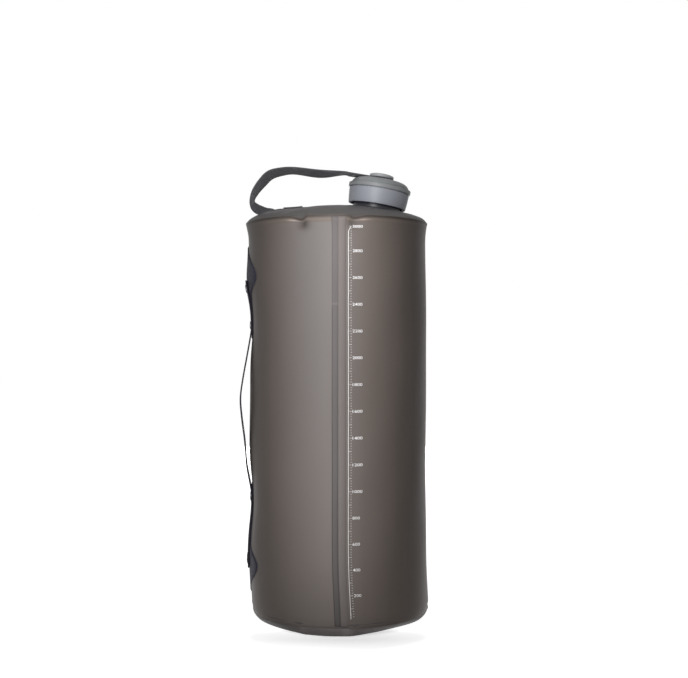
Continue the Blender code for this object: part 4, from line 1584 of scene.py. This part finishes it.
class CARRIER_OT_carry_strap(Operator):
    """Carry strap in one length, from its round end under the knob to its end under the lid's patch"""

    bl_idname = "carrier.carry_strap"
    bl_label = "Carry strap"

    def execute(self, context):
        body = context.scene.carrier_body
        web = context.scene.carrier_webbing
        width = web.strap_width
        height = cap_span("cap_crown")[1] + web.layer_gap + web.strap_thickness / 2
        middles = [CAP_PLACE @ Vector((-x, 0, height)) for x in spaced(width / 2, web.tab_length, 10)]
        flat = [(middle, Vector((0, 1, 0))) for middle in middles]
        mesh = webbing_mesh("carry_strap_webbing", flat + strap_places(body, web), width)
        self.round_end(mesh, width, web.tab_hole, height)
        item = new_object("carry_strap_webbing", mesh)
        thickened(item, web.strap_thickness, offset=0.0, bevel=0.00024)
        dress(item.data, webbing_material("strap_webbing", context.scene.carrier_finishes.strap))
        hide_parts("carry_strap", "carry_strap_tab")
        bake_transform(item)
        return {"FINISHED"}

    def round_end(self, mesh, width, hole, height):
        """Add the strap's round end with its hole to the first row of the webbing."""
        half = width / 2
        edges = [Vector((-half, edge * width)) for edge in spaced(-0.5, 0.5, WEBBING_COLUMNS)]
        turns = spaced(math.pi / 2, -math.pi / 2, 24)[1:]
        rim = [Vector((-x, half)) for x in spaced(half, 0, 5)[1:]]
        rim += [Vector((math.cos(turn), math.sin(turn))) * half for turn in turns]
        rim += [Vector((-x, -half)) for x in spaced(0, half, 5)[1:-1]]
        local = edges + rim
        with edited(mesh) as bm:
            layer = bm.loops.layers.uv["surface"]
            outline = bm.verts[:WEBBING_COLUMNS + 1]
            outline += [bm.verts.new(CAP_PLACE @ Vector((*point, height))) for point in rim]
            inside = [point.normalized() * hole for point in local]
            inner = [bm.verts.new(CAP_PLACE @ Vector((*point, height))) for point in inside]
            for j in range(len(outline)):
                k = (j + 1) % len(outline)
                face = bm.faces.new((outline[j], outline[k], inner[k], inner[j]))
                for loop, point in zip(face.loops, (local[j], local[k], inside[k], inside[j])):
                    loop[layer].uv = (point.y, -half - point.x)
            bmesh.ops.remove_doubles(bm, verts=bm.verts, dist=1e-6)
            bmesh.ops.recalc_face_normals(bm, faces=bm.faces)


def ridge(cap, wall, outward, start, first_turn, turns, steps=72):
    """Points and faces of a helical ridge on a round wall, faded out at both ends."""
    count = round(turns * steps)
    points, faces = [], []
    embed = cap.ridge_height / 4
    for i in range(count + 1):
        turn = (first_turn + i / steps) * math.tau
        height = start + cap.thread_pitch * turn / math.tau
        fade = eased(min(i, count - i) / (steps / 6))
        foot = wall - outward * embed
        crest = mixed(foot, wall + outward * cap.ridge_height, fade)
        for radius, rise in (
            (foot, -cap.ridge_base / 2),
            (crest, -cap.ridge_crest / 2),
            (crest, cap.ridge_crest / 2),
            (foot, cap.ridge_base / 2),
        ):
            points.append(around(turn, radius, height + rise))
    for i in range(count):
        for j in range(4):
            k = (j + 1) % 4
            faces.append((4 * i + j, 4 * i + k, 4 * i + 4 + k, 4 * i + 4 + j))
    faces.append((0, 1, 2, 3))
    faces.append(tuple(4 * count + j for j in (3, 2, 1, 0)))
    return points, faces


def add_ridge(mesh, points, faces):
    """Add a closed ridge on the spout's axis to a mesh."""
    with edited(mesh) as bm:
        verts = [bm.verts.new(CAP_PLACE @ point) for point in points]
        added = [bm.faces.new([verts[i] for i in face]) for face in faces]
        bmesh.ops.recalc_face_normals(bm, faces=added)
    mesh.set_sharp_from_angle(angle=math.radians(40))


class CARRIER_OT_spout(Operator):
    """Spout with its weld flange, neck and screw thread"""

    bl_idname = "carrier.spout"
    bl_label = "Spout"

    def execute(self, context):
        cap = context.scene.carrier_cap
        low, high, flange = cap_span("spout_neck")
        outer = cap.neck_bore + cap.neck_wall
        edge = cap.edge_round
        thick = cap.flange_thickness
        drop = context.scene.carrier_body.flange_drop
        spigot = cap.neck_bore + SPIGOT_WALL
        fillet = 0.0008
        profile = [
            (cap.neck_bore, low - drop),
            (spigot, low - drop),
            (spigot, -drop),
            (flange, -drop),
            *arc((flange - edge, thick * 0.45 - drop), edge, 0, 80, 5),
            (flange - thick * 0.9, thick * 0.82 - drop),
            (outer + 2 * fillet, thick - drop),
            *[
                (outer + fillet - fillet * math.sin(turn), thick - drop + fillet - fillet * math.cos(turn))
                for turn in spaced(0, math.pi / 2, 5)
            ],
            *arc((outer - edge, high - edge), edge, 0, 90),
            *arc((cap.neck_bore + edge, high - edge), edge, 90, 180),
        ]
        mesh = turned_mesh("spout", profile, 160)
        add_ridge(mesh, *ridge(cap, outer, 1, thick + cap.thread_start, 0, cap.thread_turns))
        item = new_object("spout", mesh)
        material = moulding_material("spout_moulding", context.scene.carrier_finishes.moulding)
        finished(item, material, "top_end", "dark_moulding", "spout_neck")
        return {"FINISHED"}


class CARRIER_OT_cap(Operator):
    """Cap: threaded skirt, cover with its proud ring, and the knob that keeps the strap"""

    bl_idname = "carrier.cap"
    bl_label = "Cap"

    def execute(self, context):
        cap = context.scene.carrier_cap
        finishes = context.scene.carrier_finishes
        self.skirt(cap, finishes)
        self.cover(cap, finishes)
        self.knob(cap, finishes)
        # The seal and the eyelet stay the frame's own
        dress(frame["nodes"]["cap_gasket"].data, moulding_material("soft_seal", finishes.seal))
        dress(frame["nodes"]["strap_eyelet"].data, moulding_material("eyelet_moulding", finishes.moulding))
        return {"FINISHED"}

    def skirt(self, cap, finishes):
        """Threaded skirt with its roof, its boss and the groove under the cover's ring."""
        low, boss_top, top_radius = cap_span("cap_shell")
        top = cap_span("cap_crown")[0] - SEAT_GAP
        lip = top - cap.ring_lip - SEAT_GAP
        under = top - cap.roof_thickness
        bore = cap.neck_bore + cap.neck_wall + cap.ridge_height + cap.thread_clearance
        foot = top_radius - cap.skirt_taper
        edge = cap.edge_round
        hole = cap.post_radius + SEAT_GAP

        def swell(share):
            return mixed(foot, top_radius, share) + 0.00012 * math.sin(math.pi * share)

        profile = [
            (0, under),
            (bore - 0.0006, under),
            (bore, under - 0.0006),
            *arc((bore + edge, low + edge), edge, 180, 270),
            *arc((foot - edge, low + edge), edge, 270, 360),
            *[(swell(share), mixed(low, lip, share)) for share in spaced(0.1, 1.0, 9)],
            (top_radius - cap.groove_depth, lip + 0.0002),
            *arc((top_radius - edge - cap.groove_depth, top - edge), edge, 30, 90),
            (cap.boss_radius, top),
            *arc((cap.boss_radius - edge, boss_top - edge), edge, 0, 90),
            (hole, boss_top),
            (hole, top + SEAT_GAP),
            (0, top + SEAT_GAP),
        ]
        mesh = turned_mesh("cap_skirt", profile, 200)
        start = cap.flange_thickness + cap.thread_start + cap.thread_pitch / 2
        first = -(start - cap.ridge_base / 2 - low - 0.0007) / cap.thread_pitch
        add_ridge(mesh, *ridge(cap, bore, -1, start, first, CAP_THREAD_TURNS))
        item = new_object("cap_skirt", mesh)
        material = moulding_material("cap_plastic", finishes.cap)
        finished(item, material, "screw_cap", "cap_moulding", "cap_shell")

    def cover(self, cap, finishes):
        """Hollow cover with its flat top and its proud ring."""
        low, top, ring = cap_span("cap_crown")
        edge = cap.edge_round
        hole = cap.post_radius + SEAT_GAP
        lip = low - cap.ring_lip
        ring_top = lip + cap.ring_height
        rise = top - ring_top
        foot = ring - cap.ring_step
        run = foot - cap.plateau_radius
        inner_run = run - cap.cover_wall
        inside = top - cap.cover_wall
        floor = low + 0.0002
        lip_inner = cap_span("cap_shell")[2] - cap.groove_depth + SEAT_GAP
        profile = [
            (hole, inside),
            *[
                (cap.plateau_radius + inner_run * math.sin(turn), floor + (inside - low) * math.cos(turn))
                for turn in spaced(0, math.pi / 2, 14)
            ],
            (ring - 0.0033, low),
            (lip_inner, low),
            (lip_inner, lip),
            *arc((ring - edge, lip + edge), edge, 270, 360, 5),
            *arc((ring - edge, ring_top - edge), edge, 0, 80, 6),
            (foot + 0.0005, ring_top + 0.00002),
            (foot + 0.0004, ring_top - 0.0004),
            (foot + 0.0001, ring_top - 0.0004),
            *quarter(cap.plateau_radius, ring_top + 0.0001, run, rise - 0.0001, 14),
            (cap.plateau_radius * 0.6, top + 0.00005),
            (hole, top),
        ]
        item = new_object("cap_cover", turned_mesh("cap_cover", profile, 200))
        material = moulding_material("cover_plastic", finishes.cover)
        finished(item, material, "screw_cap", "crown_moulding", "cap_crown")

    def knob(self, cap, finishes):
        """Low round button on its post, over the strap's end."""
        low, top, radius = cap_span("cap_knob")
        top -= cap.knob_flatness
        under = cap_span("cap_crown")[1] + SEAT_GAP + STRAP_THICKNESS + SEAT_GAP
        side_top = under + cap.knob_side
        edge = cap.edge_round * 1.6
        profile = [
            (0, low),
            (cap.post_radius, low),
            (cap.post_radius, under),
            *arc((radius - edge, under + edge), edge, 270, 360),
            *quarter(0, side_top, radius, top - side_top, 16)[:-1],
            (0, top),
        ]
        item = new_object("cap_knob_button", turned_mesh("cap_knob_button", profile, 128))
        material = moulding_material("knob_plastic", finishes.knob)
        finished(item, material, "screw_cap", "crown_moulding", "cap_knob")


def wrap_on_wall(size, shape, ink):
    """Roll flat geometry onto the wall: x runs round from the front, z up, and -y is the lift."""
    x, y, z = shape.node("GeometryNodeInputPosition").parts()
    azimuth = x / size.wall_radius - math.pi / 2
    return rolled(shape, size, wall_radius(size, azimuth, z) + ink - y, azimuth, z)


def mark_height(scale, step, steps):
    """Height of one mark of the scale, for numbers and for links."""
    foot = scale.foot_rise * bell(step / scale.foot_steps)
    top = scale.top_fall * bell((steps - step) / scale.top_steps)
    return scale.zero_height + scale.step_height * step + foot - top


def marks_tree(body, scale):
    """Geometry Nodes tree of the printed marks: a long line, and a bar for each step, longer at every fifth
    and tenth."""
    tree = shape_tree("printed_marks")
    size = tree_inputs(tree, body, WALL_SIZES)
    mark = tree_inputs(tree, scale, MARK_SIZES)
    count = tree_input(tree, "Count", "NodeSocketInt")
    line = count.node("GeometryNodeMeshLine", {"mode": "OFFSET"}, {"Count": count})
    # The first mark is the second step's
    step = line.node("GeometryNodeInputIndex") + 2
    fifth = step.maths("LESS_THAN", step.maths("MODULO", step, mark.number_every / 2), 0.5)
    tenth = step.maths("LESS_THAN", step.maths("MODULO", step, mark.number_every), 0.5)
    long = mark.tick_length * (1 + 1.1 * fifth - 0.2 * tenth)
    x = mark.tick_x - (long - mark.tick_length) * (0.5 + 0.1 * tenth)
    line = moved(line, x, 0.0, mark_height(mark, step, count + 1))
    bar = line.node("GeometryNodeMeshCube", {}, {"Size": (1, 1, 1), "Vertices X": 3})
    shape = vector(line, long, mark.ink_thickness, mark.tick_height)
    bars = line.node("GeometryNodeInstanceOnPoints", {}, {"Points": line, "Instance": bar, "Scale": shape})
    bars = bars.node("GeometryNodeRealizeInstances", {}, {"Geometry": bars})
    shape = vector(line, mark.line_width, mark.ink_thickness, mark.line_top - mark.line_foot)
    post = line.node("GeometryNodeMeshCube", {}, {"Size": shape, "Vertices Z": 160})
    x, y, z = post.node("GeometryNodeInputPosition").parts()
    up = z + (mark.line_top + mark.line_foot) / 2
    post = moved(post, x + mark.line_x + positive(up - mark.line_bend) * 0.65, y, up)
    both = post.node("GeometryNodeJoinGeometry")
    for part in (post, bars):
        tree.links.new(part.socket, both.socket.node.inputs[0])
    close_tree(tree, wrap_on_wall(size, both, mark.ink_thickness / 2))
    return tree


class CARRIER_OT_printed_scale(Operator):
    """Printed scale: the long line, its marks and plain numbers in millilitres"""

    bl_idname = "carrier.printed_scale"
    bl_label = "Printed scale"

    def execute(self, context):
        body = context.scene.carrier_body
        scale = context.scene.carrier_scale
        material = ink_material("scale_ink", context.scene.carrier_finishes.ink)
        tree = marks_tree(body, scale)
        steps = scale.full_amount // scale.step_amount
        values = {**named_sizes(body, WALL_SIZES), **named_sizes(scale, MARK_SIZES), "Count": steps - 1}
        item = grown("scale_marks", tree, values, material)
        item.data.set_sharp_from_angle(angle=math.radians(40))
        finished(item, material, "lower_body", "film", flattens=True)
        bm = bmesh.new()
        for step in range(scale.number_every, steps + 1, scale.number_every):
            self.number(bm, str(step * scale.step_amount), step, body, scale)
        mesh = bpy.data.meshes.new("scale_numbers")
        bm.to_mesh(mesh)
        bm.free()
        item = new_object("scale_numbers", mesh)
        finished(item, material, "lower_body", "film", flattens=True)
        return {"FINISHED"}

    def number(self, bm, text, step, body, scale):
        """Add one number to the mesh, rolled onto the wall."""
        letters = bpy.data.curves.new("number", "FONT")
        letters.body = text
        letters.offset = 0.004
        letters.extrude = 0.5
        letters.resolution_u = 3
        holder = new_object("number", letters)
        graph = bpy.context.evaluated_depsgraph_get()
        flat = bpy.data.meshes.new_from_object(holder.evaluated_get(graph))
        bpy.data.objects.remove(holder)
        low = [min(v.co[i] for v in flat.vertices) for i in range(2)]
        high = [max(v.co[i] for v in flat.vertices) for i in range(2)]
        wide = scale.digit_width * len(text) - DIGIT_GAP
        middle = mark_height(scale, step, scale.full_amount // scale.step_amount)
        for vertex in flat.vertices:
            x = scale.number_x + (vertex.co.x - low[0]) / (high[0] - low[0]) * wide
            z = middle + ((vertex.co.y - low[1]) / (high[1] - low[1]) - 0.5) * scale.number_height
            lift = (vertex.co.z + 0.5) * scale.ink_thickness
            vertex.co = wall_point(body, x / body.wall_radius - math.pi / 2, z, lift)
        bm.from_mesh(flat)
        bpy.data.meshes.remove(flat)


class CARRIER_OT_stage(Operator):
    """Camera, soft lights, pale floor and white surroundings"""

    bl_idname = "carrier.stage"
    bl_label = "Stage"

    def execute(self, context):
        stage = context.scene.carrier_stage
        self.camera(context, stage)
        self.floor(stage)
        self.world(context, stage)
        self.lamp("key_light", stage.key_power)
        self.lamp("low_light", stage.low_power)
        self.lamp("top_light", stage.top_power)
        back = self.lamp("back_light", stage.back_power)
        # It would glare on the lid
        back.visible_glossy = False
        context.scene.view_settings.view_transform = "Standard"
        return {"FINISHED"}

    def camera(self, context, stage):
        """Level camera in front of the carrier."""
        data = bpy.data.cameras.new("camera")
        data.lens = stage.lens
        data.sensor_width = 36.0
        camera = bpy.data.objects.new("camera", data)
        camera.location = (stage.camera_x, -stage.camera_distance, stage.camera_height)
        camera.rotation_euler = (math.pi / 2, 0, 0)
        context.scene.collection.objects.link(camera)
        context.scene.camera = camera

    def floor(self, stage):
        """Floor that is seen white, with the carrier's real shadow in front of it, deepened by a painted
        shadow.
        """
        half = stage.floor_size / 2
        corners = [Vector((x * half, y * half, -0.0002)) for x, y in ((-1, -1), (1, -1), (1, 1), (-1, 1))]
        floor = new_object("floor", mesh_of("floor", corners, [(0, 1, 2, 3)]))
        material, start, shader = started("pale_floor", (0.82, 0.82, 0.82), 0.9)
        shader.inputs["Specular IOR Level"].default_value = 0.0
        shader.inputs["Emission Color"].default_value = (1, 1, 1, 1)
        place = object_place(start, (1.2, 1, 1))
        out = start.node("ShaderNodeVectorMath", {"operation": "LENGTH"}, {0: place}, output=1)
        # In front of the foot the floor glows less, so that the lamps' real shadow shows, and a painted
        # shadow darkens it further
        in_front = ((-place.parts()[1] - 0.040) / 0.028).clamped()
        near = (1 - (out - 0.062) / 0.041).clamped() * in_front
        shadow = ((near - 0.2) / 0.8).clamped()
        strength = seen_rays(start) * (1 - 0.36 * (near * 4).clamped() - 0.38 * shadow)
        connect(shader, "Emission Strength", strength)
        floor.data.materials.append(material)

    def world(self, context, stage):
        """Surroundings that are seen white and give little light."""
        world = bpy.data.worlds.new("surroundings")
        world.use_nodes = True
        context.scene.world = world
        start = Link(world.node_tree)
        shader = world.node_tree.nodes["Background"]
        shader.inputs["Color"].default_value = (1, 1, 1, 1)
        connect(shader, "Strength", stage.world_strength + seen_rays(start) * (1 - stage.world_strength))

    def lamp(self, name, power):
        """Rectangular lamp that the camera doesn't see."""
        place, aim, wide, high, spread = LAMPS[name]
        data = bpy.data.lights.new(name, "AREA")
        data.spread = math.radians(spread)
        data.shape = "RECTANGLE"
        data.size = wide
        data.size_y = high
        data.energy = power
        lamp = bpy.data.objects.new(name, data)
        lamp.location = place
        lamp.rotation_euler = (Vector(aim) - Vector(place)).to_track_quat("-Z", "Y").to_euler()
        lamp.visible_camera = False
        bpy.context.scene.collection.objects.link(lamp)
        return lamp


class CARRIER_PT_pieces(Panel):
    """Lists the pieces of the carrier"""

    bl_idname = "CARRIER_PT_pieces"
    bl_label = "Water carrier"
    bl_space_type = "VIEW_3D"
    bl_region_type = "UI"
    bl_category = "Carrier"

    def draw(self, context):
        for operator in OPERATORS:
            self.layout.operator(operator.bl_idname)
        for name, group in GROUPS.items():
            box = self.layout.box()
            box.label(text=group.__doc__)
            for size in group.__annotations__:
                box.prop(getattr(context.scene, name), size)


OPERATORS = (
    CARRIER_OT_stage,
    CARRIER_OT_film_wall,
    CARRIER_OT_seams,
    CARRIER_OT_top_weld,
    CARRIER_OT_base,
    CARRIER_OT_lid,
    CARRIER_OT_handle_patches,
    CARRIER_OT_side_handle,
    CARRIER_OT_bar_tacks,
    CARRIER_OT_strap_patch,
    CARRIER_OT_carry_strap,
    CARRIER_OT_spout,
    CARRIER_OT_cap,
    CARRIER_OT_printed_scale,
)


def register():
    for group in GROUPS.values():
        bpy.utils.register_class(group)
    for name, group in GROUPS.items():
        setattr(bpy.types.Scene, name, PointerProperty(type=group))
    for item in (*OPERATORS, CARRIER_PT_pieces):
        bpy.utils.register_class(item)


def unregister():
    for item in (CARRIER_PT_pieces, *reversed(OPERATORS)):
        bpy.utils.unregister_class(item)
    for name in GROUPS:
        delattr(bpy.types.Scene, name)
    for group in reversed(GROUPS.values()):
        bpy.utils.unregister_class(group)


def main():
    """Register the classes, and make every piece in order."""
    register()
    for operator in OPERATORS:
        group, name = operator.bl_idname.split(".")
        getattr(getattr(bpy.ops, group), name)()


if __name__ == "__main__":
    main()
